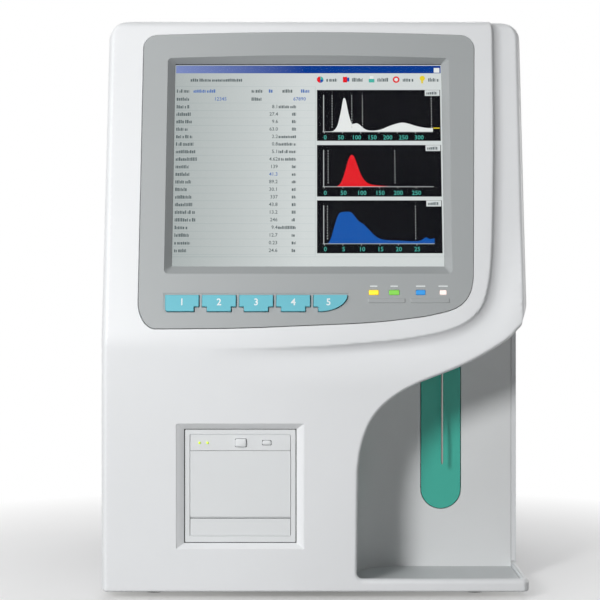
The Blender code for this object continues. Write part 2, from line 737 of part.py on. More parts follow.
def light_outline(index, grow):
    half = (LIGHT_WIDTH_SHARES[index] * BEZEL_WIDTH / 2 + grow, LIGHT_HEIGHT / 2 + grow)
    middle = (BEZEL_LEFT + LIGHT_X_SHARES[index] * BEZEL_WIDTH, up_face(BEZEL_LOW + LIGHT_RISE))
    return rounded((middle[0] - half[0], middle[1] - half[1]), (middle[0] + half[0], middle[1] + half[1]),
                   GAP * 2, 1)


BEZEL_BACK = BEZEL_THICKNESS - BEZEL_PROUD
KEYBOARD_FACE = BEZEL_BACK + GAP + KEY_FLANGE + KEY_TRAVEL + GAP


def screen_bezel(grey, face):
    """The grey frame round the display, with a sloping edge down to the glass."""
    bezel = piece("screen_bezel", prism(bezel_outline(), "Y", -BEZEL_PROUD, BEZEL_BACK), grey, parent=face)
    low = BEZEL_LOW + STRIP_RISE - STRIP_HEIGHT / 2
    for left, right in STRIP_SHARES:
        strip = rounded((BEZEL_LEFT + left * BEZEL_WIDTH, up_face(low)),
                        (BEZEL_LEFT + right * BEZEL_WIDTH, up_face(low + STRIP_HEIGHT)), GAP * 2, 1)
        join(bezel, tool("strip", prism(strip, "Y", -STRIP_PROUD, BEZEL_PROUD), parent=face))
    window = skin([[on_axis("Y", y, point) for point in screen_rect(grow)] for y, grow in
                   ((-BEZEL_PROUD - OVERRUN, SCREEN_BEVEL), (-BEZEL_PROUD, SCREEN_BEVEL),
                    (SCREEN_RECESS - BEZEL_PROUD, 0), (BEZEL_BACK + OVERRUN, 0))])
    cut(bezel, tool("window", window, parent=face))
    for i in range(KEY_COUNT):
        hole = moved(grown(key_outline(i), KEY_CLEARANCE), key_place(i))
        cut(bezel, tool("key_hole", prism(hole, "Y", -OVERRUN, BEZEL_BACK + OVERRUN), parent=face))
    for i in range(len(LIGHT_X_SHARES)):
        hole = prism(light_outline(i, GAP), "Y", -OVERRUN, BEZEL_BACK + OVERRUN)
        cut(bezel, tool("light_hole", hole, parent=face))


def display(glass, dark, face):
    front = BEZEL_BACK + GAP
    piece("display_window", prism(screen_rect(SCREEN_BEVEL), "Y", front, front + WINDOW_THICKNESS),
          glass, parent=face)
    behind = front + WINDOW_THICKNESS + GAP
    piece("display_panel", prism(screen_rect(PANEL_BORDER), "Y", behind, behind + PANEL_THICKNESS),
          dark, parent=face)


def keys(teal, face):
    """Five press keys. A flange behind the bezel keeps each one in."""
    for i in range(KEY_COUNT):
        cap = key_outline(i)
        flange = grown(cap, KEY_LIP)
        behind = BEZEL_BACK + GAP
        levels = ((-KEY_PROUD, grown(cap, -GAP)), (GAP * 2 - KEY_PROUD, cap), (behind, cap),
                  (behind, flange), (behind + KEY_FLANGE, flange))
        rings = [[on_axis("Y", y, point) for point in outline] for y, outline in levels]
        piece(f"key_{i + 1}", skin(rings), teal, at=key_place(i), parent=face)


def lights(face):
    """Light pipes from the board to the bezel's face."""
    colours = (("yellow", (1.0, 0.78, 0.05)), ("green", (0.18, 0.48, 0.07)),
               ("blue", (0.02, 0.24, 0.58)), ("white", (0.86, 0.77, 0.74)))
    for i, (name, colour) in enumerate(colours):
        pipe = prism(light_outline(i, 0), "Y", -BEZEL_PROUD - LIGHT_PROUD, KEYBOARD_FACE - GAP)
        piece(f"indicator_{name}", pipe, look(f"{name}_light", colour, 0.3), parent=face)


def key_board(green, face):
    middle = up_face(BEZEL_LOW + BOARD_RISE)
    low = (BEZEL_LEFT + BOARD_MARGIN, KEYBOARD_FACE, middle - BOARD_HEIGHT / 2)
    high = (BEZEL_RIGHT - BOARD_MARGIN, KEYBOARD_FACE + BOARD_THICKNESS, middle + BOARD_HEIGHT / 2)
    piece("key_board", block(low, high), green, parent=face)


# Printer

FRAME_FACE = FRONT + SHELL_WALL + GAP
PIVOT_Y = FRAME_FACE + DOOR_THICKNESS / 2
PIVOT_Z = DOOR_LOW + DOOR_THICKNESS / 2
DOOR_LEFT = PRINTER_LEFT + PRINTER_CHAMFER + DOOR_SIDE_RIM
DOOR_RIGHT = PRINTER_RIGHT - PRINTER_CHAMFER - DOOR_SIDE_RIM
BODY_FACE = FRAME_FACE + FRAME_THICKNESS + GAP
ROLL_Y = BODY_FACE + PAPER_RADIUS + OVERRUN
ROLL_Z = DOOR_LOW + PAPER_RADIUS + GAP
PLATEN_Z = DOOR_TOP - PLATEN_DROP
PRINTER_KEY_Z = PRINTER_TOP - PRINTER_KEY_DROP
DOOR_MIDDLE = (DOOR_LEFT + DOOR_RIGHT) / 2


def frame_parts():
    """Name, place and half size of what pokes through the printer's frame above the door."""
    parts = [("printer_latch", LATCH_X_SHARE, LATCH_WIDTH / 2, LATCH_HEIGHT / 2),
             ("printer_feed_key", FEED_X_SHARE, FEED_WIDTH / 2, FEED_HEIGHT / 2)]
    parts += [(f"printer_light_{hand}", share, PRINTER_LIGHT_RADIUS, PRINTER_LIGHT_RADIUS)
              for hand, share in zip(("left", "right"), PRINTER_LIGHT_X_SHARES)]
    return [(name, PRINTER_LEFT + share * PRINTER_WIDTH, half_wide, half_tall)
            for name, share, half_wide, half_tall in parts]


def small_rect(half_wide, half_tall, radius):
    return rounded((-half_wide, -half_tall), (half_wide, half_tall), radius, 2)


def printer_frame(white):
    """The frame that holds the printer behind the shell, with the paper door's opening."""
    low, high = printer_low_high(0)
    frame = piece("printer_frame", prism(rounded(low, high, GAP, 1), "Y", FRAME_FACE,
                                         FRAME_FACE + FRAME_THICKNESS), white)
    span = (FRAME_FACE - OVERRUN, FRAME_FACE + FRAME_THICKNESS + OVERRUN)
    door = block((DOOR_LEFT - GAP, span[0], DOOR_LOW - GAP), (DOOR_RIGHT + GAP, span[1], DOOR_TOP + GAP))
    pin = rod("X", PIN_RADIUS + PIN_CLEARANCE, DOOR_LEFT - DOOR_SIDE_RIM / 2,
              DOOR_RIGHT + DOOR_SIDE_RIM / 2, 12)
    cut(frame, tool("door_opening", door), tool("pin_hole", pin, at=(0, PIVOT_Y, PIVOT_Z)))
    for name, x, half_wide, half_tall in frame_parts():
        hole = small_rect(half_wide + GAP, half_tall + GAP, SMALL_KEY_CORNER)
        cut(frame, tool(name, prism(moved(hole, (x, 0, PRINTER_KEY_Z)), "Y", *span)))


def printer_door(white):
    """The paper door. It turns on a pin through its round lower edge and carries the platen's ears."""
    half = DOOR_THICKNESS / 2
    foot = arc((0, 0), (half, half), 180, 360, 10)
    tall = DOOR_TOP - PIVOT_Z
    outline = foot + [(half, tall), (-half, tall)]
    at = (DOOR_MIDDLE, PIVOT_Y, PIVOT_Z)
    wide = (DOOR_RIGHT - DOOR_LEFT) / 2
    door = piece("printer_door", prism(outline, "X", -wide, wide), white, at=at)
    ear_half = PAPER_WIDTH / 2 + EAR_WIDTH
    reach = half + 2 * PLATEN_RADIUS
    for side in (-1, 1):
        ends = sorted((side * ear_half, side * (ear_half - EAR_WIDTH + GAP)))
        ear = block((ends[0], 0, PLATEN_Z - PLATEN_RADIUS - PIVOT_Z),
                    (ends[1], reach, PLATEN_Z + PLATEN_RADIUS - PIVOT_Z))
        join(door, tool("ear", ear, at=at))
    platen = rod("X", PIN_RADIUS + PIN_CLEARANCE, -ear_half - OVERRUN, ear_half + OVERRUN, 12)
    place = (DOOR_MIDDLE, PIVOT_Y + half + PLATEN_RADIUS + GAP, PLATEN_Z)
    pin = rod("X", PIN_RADIUS + PIN_CLEARANCE, -wide - OVERRUN, wide + OVERRUN, 12)
    cut(door, tool("platen_hole", platen, at=place), tool("door_pin_hole", pin, at=at))


def printer_rollers(steel, rubber, paper):
    """The door's pin, the rubber platen with its own shaft, and the paper roll."""
    at = (DOOR_MIDDLE, PIVOT_Y, PIVOT_Z)
    half = (DOOR_RIGHT - DOOR_LEFT) / 2 + DOOR_SIDE_RIM / 2 - GAP
    piece("printer_door_pin", rod("X", PIN_RADIUS, -half, half, 12), steel, at=at)
    place = (DOOR_MIDDLE, PIVOT_Y + DOOR_THICKNESS / 2 + PLATEN_RADIUS + GAP, PLATEN_Z)
    body = PAPER_WIDTH / 2 - GAP
    end = PAPER_WIDTH / 2 + EAR_WIDTH
    profile = [(PIN_RADIUS, -end), (PIN_RADIUS, -body), (PLATEN_RADIUS, -body), (PLATEN_RADIUS, body),
               (PIN_RADIUS, body), (PIN_RADIUS, end)]
    piece("platen_roller", turned(profile, "X", 20), rubber, at=place)
    at = (DOOR_MIDDLE, ROLL_Y, ROLL_Z)
    roll = piece("paper_roll", rod("X", PAPER_RADIUS, -body, body, 40), paper, at=at)
    bore = rod("X", PAPER_CORE_RADIUS + GAP, -body - OVERRUN, body + OVERRUN, 24)
    cut(roll, tool("roll_bore", bore, at=at))


def printer_body(dark):
    """The open-fronted bucket behind the frame that the paper roll lies in."""
    wall = DOOR_SIDE_RIM
    low = (DOOR_LEFT - wall, BODY_FACE, ROLL_Z - PAPER_RADIUS - GAP - wall)
    high = (DOOR_RIGHT + wall, BODY_FACE + PRINTER_BODY_DEPTH, DOOR_TOP + wall)
    body = piece("printer_body", block(low, high), dark)
    inside = block((DOOR_LEFT, low[1] - OVERRUN, low[2] + wall), (DOOR_RIGHT, high[1] - wall, DOOR_TOP))
    cut(body, tool("bucket", inside))


def printer_keys(white, light):
    """The door latch and the feed key, both pressed, and two small lights."""
    for name, x, half_wide, half_tall in frame_parts():
        proud = LATCH_TRAVEL + GAP if name == "printer_latch" else PRINTER_LIGHT_RADIUS
        back = FRAME_THICKNESS - LATCH_TRAVEL if "light" not in name else FRAME_THICKNESS
        cap = prism(small_rect(half_wide, half_tall, SMALL_KEY_CORNER), "Y", -proud, back)
        piece(name, cap, light if "light" in name else white, at=(x, FRAME_FACE, PRINTER_KEY_Z))


# Probe mechanism

PLATE_FACE = SEAM + BAY_LINER_WALL + GAP
PROBE_Y = SEAM - PROBE_STANDOFF
IDLER_Z = BRACKET_LOW + BRACKET_THICKNESS + PULLEY_RADIUS + BELT_THICKNESS + RUNNING
DRIVE_Z = BRACKET_TOP - BRACKET_THICKNESS - PULLEY_RADIUS - BELT_THICKNESS - RUNNING
PULLEY_Y = PLATE_FACE - RUNNING - BELT_WIDTH


def mechanism_plate(steel):
    """The upright plate behind the bay, with the two brackets that hold the guide rods."""
    plate = piece("mechanism_plate", block((BAR_X - MECHANISM_HALF, PLATE_FACE, PLATE_TOP + GAP),
                                           (BAR_X + MECHANISM_HALF, PLATE_FACE + PLATE, BRACKET_TOP)), steel)
    half = ROD_SPACING / 2 + CARRIAGE_OVERHANG
    for name, low in (("low", BRACKET_LOW), ("top", BRACKET_TOP - BRACKET_THICKNESS)):
        arm = block((BAR_X - half, PROBE_Y - CARRIAGE_DEPTH / 2, low),
                    (BAR_X + half, PLATE_FACE + PLATE / 2, low + BRACKET_THICKNESS))
        join(plate, tool(f"{name}_bracket", arm))
    hole = prism(bar_outline(2 * BAR_CLEARANCE), "Y", PLATE_FACE - OVERRUN, PLATE_FACE + PLATE + OVERRUN)
    shaft = rod("Y", SHAFT_RADIUS + RUNNING, PLATE_FACE - OVERRUN, PLATE_FACE + PLATE + OVERRUN)
    cut(plate, tool("plate_window", hole), tool("shaft_hole", shaft, at=(BAR_X, 0, DRIVE_Z)))
    for side in (-1, 1):
        way = rod("Z", ROD_RADIUS + GAP, BRACKET_LOW - OVERRUN, BRACKET_TOP + OVERRUN)
        cut(plate, tool("rod_hole", way, at=(BAR_X + side * ROD_SPACING / 2, PROBE_Y, 0)))
    way = rod("Z", 2 * ROD_RADIUS, BRACKET_LOW - OVERRUN, BRACKET_TOP + OVERRUN)
    cut(plate, tool("probe_way", way, at=(BAR_X, PROBE_Y, 0)))
    stud = rod("Y", SHAFT_RADIUS, PULLEY_Y - GAP, PLATE_FACE + PLATE / 2)
    join(plate, tool("idler_stud", stud, at=(BAR_X, 0, IDLER_Z)))


def guide_rods(chrome):
    for hand, side in (("left", -1), ("right", 1)):
        at = (BAR_X + side * ROD_SPACING / 2, PROBE_Y, 0)
        piece(f"guide_rod_{hand}", rod("Z", ROD_RADIUS, BRACKET_LOW, BRACKET_TOP), chrome, at=at)


def probe_carriage(black):
    """The block that slides on both rods, holds the probe and is gripped by the belt's right run."""
    at = (BAR_X, PROBE_Y, CARRIAGE_LOW)
    half = ROD_SPACING / 2 + CARRIAGE_OVERHANG
    deep = CARRIAGE_DEPTH / 2
    side = PULLEY_RADIUS + BELT_THICKNESS + RUNNING
    lug = PULLEY_Y + BELT_WIDTH - PROBE_Y
    outline = [(-half, -deep), (half, -deep), (half, deep), (side + CARRIAGE_OVERHANG, deep),
               (side + CARRIAGE_OVERHANG, lug), (side, lug), (side, deep), (-half, deep)]
    carriage = piece("probe_carriage", prism(outline, "Z", 0, CARRIAGE_HEIGHT), black, at=at)
    top = CARRIAGE_HEIGHT + OVERRUN
    for offset in (-1, 1):
        way = rod("Z", ROD_RADIUS + RUNNING, -OVERRUN, top)
        place = (BAR_X + offset * ROD_SPACING / 2, PROBE_Y, CARRIAGE_LOW)
        cut(carriage, tool("slide_hole", way, at=place))
    cut(carriage, tool("probe_socket", rod("Z", PROBE_RADIUS + GAP, -OVERRUN, top, 12), at=at))


def sample_probe(steel):
    """The thin steel tube that draws the sample, with its slanting tip at the bottom."""
    at = (BAR_X, PROBE_Y, PROBE_TIP_Z)
    profile = [(PROBE_RADIUS * 0.5, 0), (PROBE_RADIUS, PROBE_RADIUS * 2), (PROBE_RADIUS, PROBE_LENGTH)]
    piece("sample_probe", turned(profile, "Z", 12), steel, at=at)


def pulleys_and_belt(black, steel):
    """The motor's pulley, the idler on its stud and the belt round both."""
    wide = BELT_WIDTH
    motor_end = PLATE_FACE + PLATE - PULLEY_Y
    profile = [(PULLEY_RADIUS, 0), (PULLEY_RADIUS, wide), (SHAFT_RADIUS, wide), (SHAFT_RADIUS, motor_end)]
    piece("drive_pulley", turned(profile, "Y", 24), steel, at=(BAR_X, PULLEY_Y, DRIVE_Z))
    at = (BAR_X, PULLEY_Y, IDLER_Z)
    idler = piece("idler_pulley", rod("Y", PULLEY_RADIUS, 0, wide, 24), steel, at=at)
    cut(idler, tool("idler_bore", rod("Y", SHAFT_RADIUS + RUNNING, -OVERRUN, wide + OVERRUN), at=at))
    rings = []
    for radius in (PULLEY_RADIUS + RUNNING, PULLEY_RADIUS + BELT_THICKNESS):
        rings.append(arc((BAR_X, DRIVE_Z), (radius, radius), 0, 180, 12)
                     + arc((BAR_X, IDLER_Z), (radius, radius), 180, 360, 12))
    belt = piece("drive_belt", prism(rings[1], "Y", PULLEY_Y, PULLEY_Y + wide), black)
    cut(belt, tool("belt_inside", prism(rings[0], "Y", PULLEY_Y - OVERRUN, PULLEY_Y + wide + OVERRUN)))


def probe_motor(black):
    half = MOTOR_SIZE / 2
    face = PLATE_FACE + PLATE + GAP
    outline = rounded((BAR_X - half, DRIVE_Z - half), (BAR_X + half, DRIVE_Z + half), ROD_RADIUS, 3)
    piece("probe_motor", prism(outline, "Y", face, face + MOTOR_LENGTH), black)


def start_switch(black):
    """The switch that the start bar pushes, on the back of the plate."""
    face = max(PLATE_FACE + PLATE, SEAM + BAY_LINER_WALL + BAR_TRAVEL) + GAP
    half = BAR_WIDTH / 2 + SWITCH_BODY / 2
    piece("start_switch", block((BAR_X - half, face, BAR_END_Z), (BAR_X + half, face + SWITCH_BODY,
                                                                 BAR_END_Z + 2 * SWITCH_BODY)), black)


def rinse_block(clear):
    """The small block under the lower bracket that washes the probe as it rises."""
    half = RINSE_WIDTH / 2
    low = (BAR_X - half, PROBE_Y - half, BRACKET_LOW - RINSE_DROP)
    high = (BAR_X + half, PLATE_FACE - GAP, low[2] + RINSE_HEIGHT)
    rinse = piece("rinse_block", block(low, high), clear)
    way = rod("Z", PROBE_RADIUS + BAR_CLEARANCE, low[2] - OVERRUN, high[2] + OVERRUN, 12)
    cut(rinse, tool("rinse_bore", way, at=(BAR_X, PROBE_Y, 0)))


# Wet system and electronics

def baths(clear):
    """The white cell and red cell counting baths: open cups on arms from the plate."""
    base = BAY_SHOULDER + BATH_RISE
    for name, side in (("white", -1), ("red", 1)):
        x = BAR_X + side * BATH_OFFSET
        face = PLATE_FACE + PLATE + GAP
        at = (x, face + BATH_BRACKET + BATH_RADIUS, base)
        bath = piece(f"{name}_cell_bath", rod("Z", BATH_RADIUS, 0, BATH_HEIGHT, 24), clear, at=at)
        arm = block((x - BATH_RADIUS / 2, face, base), (x + BATH_RADIUS / 2, at[1], base + BATH_RADIUS))
        join(bath, tool("bath_arm", arm))
        cut(bath, tool("bath_inside", rod("Z", BATH_RADIUS - BATH_WALL, BATH_WALL, BATH_HEIGHT + OVERRUN, 24),
                       at=at))


def pumps(black, clear):
    """The vacuum pump and the syringe pump stand on the base."""
    low = PLATE_TOP + GAP
    half = PUMP_HEIGHT / 2
    profile = [(PUMP_RADIUS, 0), (PUMP_RADIUS, half), (PUMP_HEAD_RADIUS, half + BATH_BRACKET),
               (PUMP_HEAD_RADIUS, PUMP_HEIGHT)]
    piece("vacuum_pump", turned(profile, "Z", 24), black, at=(PUMP_X, PUMP_ROW_Y, low))
    at = (SYRINGE_X, PUMP_ROW_Y, low)
    wide = SYRINGE_WIDTH / 2
    deep = SYRINGE_DEPTH / 2
    pump = piece("syringe_pump", block((-wide, -deep, 0), (wide, deep, SYRINGE_HEIGHT / 2)), clear, at=at)
    barrel = rod("Z", SYRINGE_BARREL, SYRINGE_HEIGHT / 3, SYRINGE_HEIGHT, 20)
    join(pump, tool("syringe_barrel", barrel, at=at))


def electronics(steel, green):
    """The power supply on the base and the main board on posts from the rear panel."""
    low = PLATE_TOP + GAP
    back = PANEL_FACE - PLATE - GAP
    piece("power_supply", block((SUPPLY_X, back - SUPPLY_DEPTH - INLET_DEPTH, low),
                                (SUPPLY_X + SUPPLY_WIDTH, back - INLET_DEPTH, low + SUPPLY_HEIGHT)), steel)
    half = MAIN_BOARD_WIDTH / 2
    middle = MAIN_BOARD_MARGIN + half - HALF
    face = back - BOARD_POST
    board = piece("main_board", block((middle - half, face - BOARD_THICKNESS, MAIN_BOARD_LOW),
                                      (middle + half, face, MAIN_BOARD_LOW + MAIN_BOARD_HEIGHT)), green)
    for across in (-1, 1):
        for z in (MAIN_BOARD_LOW + BOARD_POST, MAIN_BOARD_LOW + MAIN_BOARD_HEIGHT - BOARD_POST):
            post = rod("Y", BOARD_POST / 2, face - BOARD_THICKNESS / 2, back, 10)
            join(board, tool("post", post, at=(middle + across * (half - BOARD_POST), 0, z)))


# Rear fittings

PORT_NAMES = ("diluent_port", "lyse_port", "rinse_port", "waste_port")
ROCKER_SHARES = ((-0.30, -0.95), (0.30, -0.95), (0.12, 0.00), (0.30, 0.95), (-0.30, 0.95))


def ports(plastic):
    """Four hose barbs in a row, each with a flange on the panel and a spigot through it."""
    for i, name in enumerate(PORT_NAMES):
        at = (PORT_FIRST_X + i * PORT_PITCH, PANEL_FACE + GAP, PORT_HEIGHT)
        profile = [(PORT_NECK_RADIUS, -PLATE - BOARD_POST), (PORT_NECK_RADIUS, 0),
                   (PORT_FLANGE_RADIUS, 0), (PORT_FLANGE_RADIUS, FLANGE)]
        for barb in range(3):
            start = FLANGE + barb * PORT_LENGTH / 3
            profile += [(PORT_BARB_RADIUS, start), (PORT_NECK_RADIUS, start + PORT_LENGTH / 3)]
        piece(name, turned(profile, "Y", 20), plastic, at=at)


def rear_body(name, x, z, wide, tall, depth, plastic):
    """A square fitting that fills its hole in the rear panel and has a flange outside."""
    body = piece(name, block((x - wide / 2, PANEL_FACE - depth, z - tall / 2),
                             (x + wide / 2, PANEL_FACE + GAP + FLANGE / 2, z + tall / 2)), plastic)
    edge = 2 * FLANGE
    flange = block((x - wide / 2 - edge, PANEL_FACE + GAP, z - tall / 2 - edge),
                   (x + wide / 2 + edge, PANEL_FACE + GAP + FLANGE, z + tall / 2 + edge))
    join(body, tool(name + "_flange", flange))
    return body


def power_inlet(plastic):
    """The mains inlet: an open socket with three blades."""
    body = rear_body("power_inlet", INLET_X, INLET_Z, INLET_WIDTH, INLET_HEIGHT, INLET_DEPTH, plastic)
    wide = INLET_WIDTH / 2 - INLET_WALL
    tall = INLET_HEIGHT / 2 - INLET_WALL
    floor = PANEL_FACE - INLET_DEPTH + INLET_WALL
    socket = block((INLET_X - wide, floor, INLET_Z - tall),
                   (INLET_X + wide, PANEL_FACE + FLANGE + OVERRUN, INLET_Z + tall))
    cut(body, tool("socket", socket))
    for across, up in ((-0.5, -0.2), (0, 0.3), (0.5, -0.2)):
        x = INLET_X + across * wide
        z = INLET_Z + up * tall
        blade = block((x - INLET_PIN / 2, floor - INLET_WALL / 2, z - INLET_PIN),
                      (x + INLET_PIN / 2, floor + INLET_PIN_LENGTH, z + INLET_PIN))
        join(body, tool("blade", blade))


def data_port(plastic):
    body = rear_body("data_port", DATA_X, DATA_Z, DATA_WIDTH, DATA_HEIGHT, DATA_DEPTH, plastic)
    wide = DATA_WIDTH / 2 - DATA_WALL
    tall = DATA_HEIGHT / 2 - DATA_WALL
    socket = block((DATA_X - wide, PANEL_FACE - DATA_DEPTH / 2, DATA_Z - tall),
                   (DATA_X + wide, PANEL_FACE + FLANGE + OVERRUN, DATA_Z + tall))
    cut(body, tool("data_socket", socket))


def power_switch(black):
    """A rocker that turns about a level axis at the panel. Its ends are arcs of one circle, so it clears."""
    reach = SWITCH_HEIGHT / 2 - GAP
    outline = [(out * reach, up * reach) for out, up in ROCKER_SHARES]
    half = SWITCH_WIDTH / 2
    rocker = piece("power_switch", prism(outline, "X", -half, half), black,
                   at=(INLET_X, PANEL_FACE - PLATE / 2, SWITCH_Z))
    rocker.rotation_euler = (ROCKER_TILT, 0, 0)


def fan(black):
    """The cooling fan inside the rear panel: a square frame with two spokes and a turning rotor."""
    half = FAN_SIZE / 2
    back = PANEL_FACE - PLATE - GAP
    front = back - FAN_DEPTH
    frame = piece("fan_frame", block((FAN_X - half, front, FAN_Z - half), (FAN_X + half, back, FAN_Z + half)),
                  black)
    at = (FAN_X, 0, FAN_Z)
    bore = half - FAN_WALL
    cut(frame, tool("fan_bore", rod("Y", bore, front - OVERRUN, back + OVERRUN, 32), at=at))
    thin = FAN_SPOKE / 2
    long = half - FAN_WALL / 2
    quarter = [(thin, thin), (thin, long), (-thin, long)]
    cross = [(x, z) for x, z in quarter]
    for _ in range(3):
        quarter = [(-z, x) for x, z in quarter]
        cross += quarter
    spokes = prism(cross, "Y", front + FAN_WALL / 4, front + FLANGE)
    join(frame, tool("spokes", spokes, at=at))
    stud_end = back - FLANGE
    join(frame, tool("fan_stud", rod("Y", SHAFT_RADIUS, front + FLANGE / 2, stud_end), at=at))
    hub_start = front + FLANGE + GAP
    rotor_at = (FAN_X, hub_start, FAN_Z)
    long = back - hub_start - GAP
    rotor = piece("fan_rotor", rod("Y", FAN_HUB_RADIUS, 0, long, 24), black, at=rotor_at)
    tip = bore - FAN_WALL / 2
    for i in range(FAN_BLADES):
        blade = block((0, -FAN_BLADE / 2, -long / 2), (tip, FAN_BLADE / 2, long / 2))
        turn = (Matrix.Rotation(math.tau * i / FAN_BLADES, 4, "Y") @ Matrix.Rotation(math.pi / 2, 4, "X")
                @ Matrix.Rotation(FAN_TWIST, 4, "X"))
        bmesh.ops.transform(blade, matrix=turn, verts=blade.verts)
        join(rotor, tool("blade", blade, at=(FAN_X, hub_start + long / 2, FAN_Z)))
    cut(rotor, tool("hub_bore", rod("Y", SHAFT_RADIUS + RUNNING, -OVERRUN, long + OVERRUN), at=rotor_at))


def main():
    for thing in list(bpy.data.objects):
        bpy.data.objects.remove(thing)
    white = look("shell_white", (0.88, 0.89, 0.89), 0.38)
    pale = look("liner_grey", (0.62, 0.65, 0.65), 0.42)
    grey = look("bezel_grey", (0.41, 0.44, 0.44), 0.4)
    teal_key = look("key_teal", (0.15, 0.55, 0.65), 0.35)
    teal_bar = look("bar_teal", (0.06, 0.45, 0.33), 0.35)
    glass = look("window_glass", (0.8, 0.85, 0.85), 0.05)
    dark = look("panel_dark", (0.05, 0.05, 0.06), 0.4)
    steel = look("steel", (0.6, 0.6, 0.6), 0.35, 1.0)
    chrome = look("chrome", (0.8, 0.8, 0.8), 0.1, 1.0)
    black = look("black_plastic", (0.03, 0.03, 0.03), 0.5)
    rubber = look("rubber", (0.04, 0.04, 0.04), 0.8)
    green = look("board_green", (0.02, 0.2, 0.06), 0.5)
    paper = look("paper", (0.85, 0.85, 0.82), 0.9)
    clear = look("clear_plastic", (0.75, 0.8, 0.8), 0.15)
    led = look("status_light", (0.45, 0.65, 0.1), 0.3)
    face = face_empty()
    front_shell(white, face)
    top_cover(white)
    base_plate(steel)
    feet(rubber)
    rear_panel(steel)
    bay_liner(pale)
    bay_tray(pale)
    start_bar(teal_bar)
    screen_bezel(grey, face)
    display(glass, dark, face)
    keys(teal_key, face)
    lights(face)
    key_board(green, face)
    printer_frame(white)
    printer_door(white)
    printer_rollers(steel, rubber, paper)
    printer_body(dark)
    printer_keys(white, led)
    mechanism_plate(steel)
    guide_rods(chrome)
    probe_carriage(black)
    sample_probe(steel)
    pulleys_and_belt(black, steel)
    probe_motor(black)
    start_switch(black)
    rinse_block(clear)
    baths(clear)
    pumps(black, clear)
    electronics(steel, green)
    ports(clear)
    power_inlet(black)
    data_port(black)
    power_switch(black)
    fan(black)


main()
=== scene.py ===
# %% [markdown]
# # A bench-top blood cell analyser
# The object is a white plastic case, 337 mm wide and 461 mm tall, with a leaning display, five keys, a
# small printer and an open bay for the sample tube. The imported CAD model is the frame: it holds every
# size and every joint. This lesson dresses that frame, piece by piece, in the frame's own metres.

# %% Load the frame
import math

import bmesh
import bpy
from mathutils import Matrix, Vector
from mathutils.geometry import delaunay_2d_cdt
from mathutils.kdtree import KDTree
import numpy as np
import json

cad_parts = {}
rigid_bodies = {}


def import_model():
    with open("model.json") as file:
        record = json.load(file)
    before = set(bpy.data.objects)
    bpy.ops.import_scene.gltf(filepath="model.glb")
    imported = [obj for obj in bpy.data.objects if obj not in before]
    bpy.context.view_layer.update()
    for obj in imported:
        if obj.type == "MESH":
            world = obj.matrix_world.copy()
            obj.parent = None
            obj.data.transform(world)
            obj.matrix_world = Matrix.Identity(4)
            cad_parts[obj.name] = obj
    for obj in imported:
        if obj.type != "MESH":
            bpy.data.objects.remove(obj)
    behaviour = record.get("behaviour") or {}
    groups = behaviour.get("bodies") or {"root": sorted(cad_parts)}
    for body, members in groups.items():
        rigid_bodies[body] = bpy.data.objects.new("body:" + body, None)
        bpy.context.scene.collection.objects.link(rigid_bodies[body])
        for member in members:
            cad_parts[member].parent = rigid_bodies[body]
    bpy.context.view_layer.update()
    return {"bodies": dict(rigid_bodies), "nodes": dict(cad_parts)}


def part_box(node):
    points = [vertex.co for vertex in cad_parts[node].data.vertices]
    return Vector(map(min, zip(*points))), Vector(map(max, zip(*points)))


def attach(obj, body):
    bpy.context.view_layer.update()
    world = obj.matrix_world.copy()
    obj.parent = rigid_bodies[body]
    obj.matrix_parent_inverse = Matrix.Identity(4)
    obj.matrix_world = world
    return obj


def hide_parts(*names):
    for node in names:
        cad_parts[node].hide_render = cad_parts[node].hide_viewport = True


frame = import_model()
MM = 0.001

# %% [markdown]
# ## Reading sizes from the frame
# Nothing is measured twice. Where a piece meets a CAD node, its size is read from the node's box, so the
# looks stay on the model when the model changes. The front leans back above the bend, so the display
# has its own frame: x across, y into the case and z up the face.

# %% Sizes that the frame gives
shell_low, shell_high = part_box("front_shell")
bezel_low, bezel_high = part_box("screen_bezel")
door_low, door_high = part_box("printer_door")
frame_low, frame_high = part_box("printer_frame")
HALF = shell_high.x
FRONT = shell_low.y
SEAM = shell_high.y
TOP = shell_high.z
BOTTOM = shell_low.z
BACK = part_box("rear_panel")[1].y
LEAN = math.radians(11.5)
SLOPE = math.tan(LEAN)
BEND = 204 * MM
BEND_REACH = 10 * MM
FACE_HEIGHT = 343 * MM
FACE_MIDDLE = Vector((0, FRONT + (FACE_HEIGHT - BEND) * SLOPE, FACE_HEIGHT))
print("case", round(2 * HALF / MM), "mm wide and", round(TOP / MM), "mm tall")


# %% [markdown]
# ## Small tools
# A piece is made at its place, then handed over: it rides on a body of the model, takes a finish, and may
# stand in for CAD nodes, which are then hidden.

# %% Tools for pieces
def only(thing):
    """Select one object alone and make it the active one."""
    bpy.ops.object.select_all(action="DESELECT")
    thing.select_set(True)
    bpy.context.view_layer.objects.active = thing
    return thing


def made(operator, **settings):
    """The object that an operator adds, with nothing else selected."""
    bpy.ops.object.select_all(action="DESELECT")
    operator(**settings)
    return bpy.context.object


def linked(name, data):
    """A new object in the scene that holds a mesh, a lamp or a camera."""
    thing = bpy.data.objects.new(name, data)
    bpy.context.collection.objects.link(thing)
    return thing


def joined(name, parts):
    """Several finished parts as one piece."""
    only(parts[0])
    for part in parts:
        part.select_set(True)
    bpy.ops.object.join()
    parts[0].name = name
    return parts[0]


def smooth(thing, degrees=35):
    """Round shading, with a crease wherever two faces meet at more than this angle."""
    only(thing)
    bpy.ops.object.shade_smooth_by_angle(angle=math.radians(degrees))
    return thing


def change(thing, kind, **settings):
    """Add a modifier and apply it at once."""
    only(thing)
    modifier = thing.modifiers.new(kind.lower(), kind)
    for key, value in settings.items():
        setattr(modifier, key, value)
    bpy.ops.object.modifier_apply(modifier=modifier.name)
    return thing


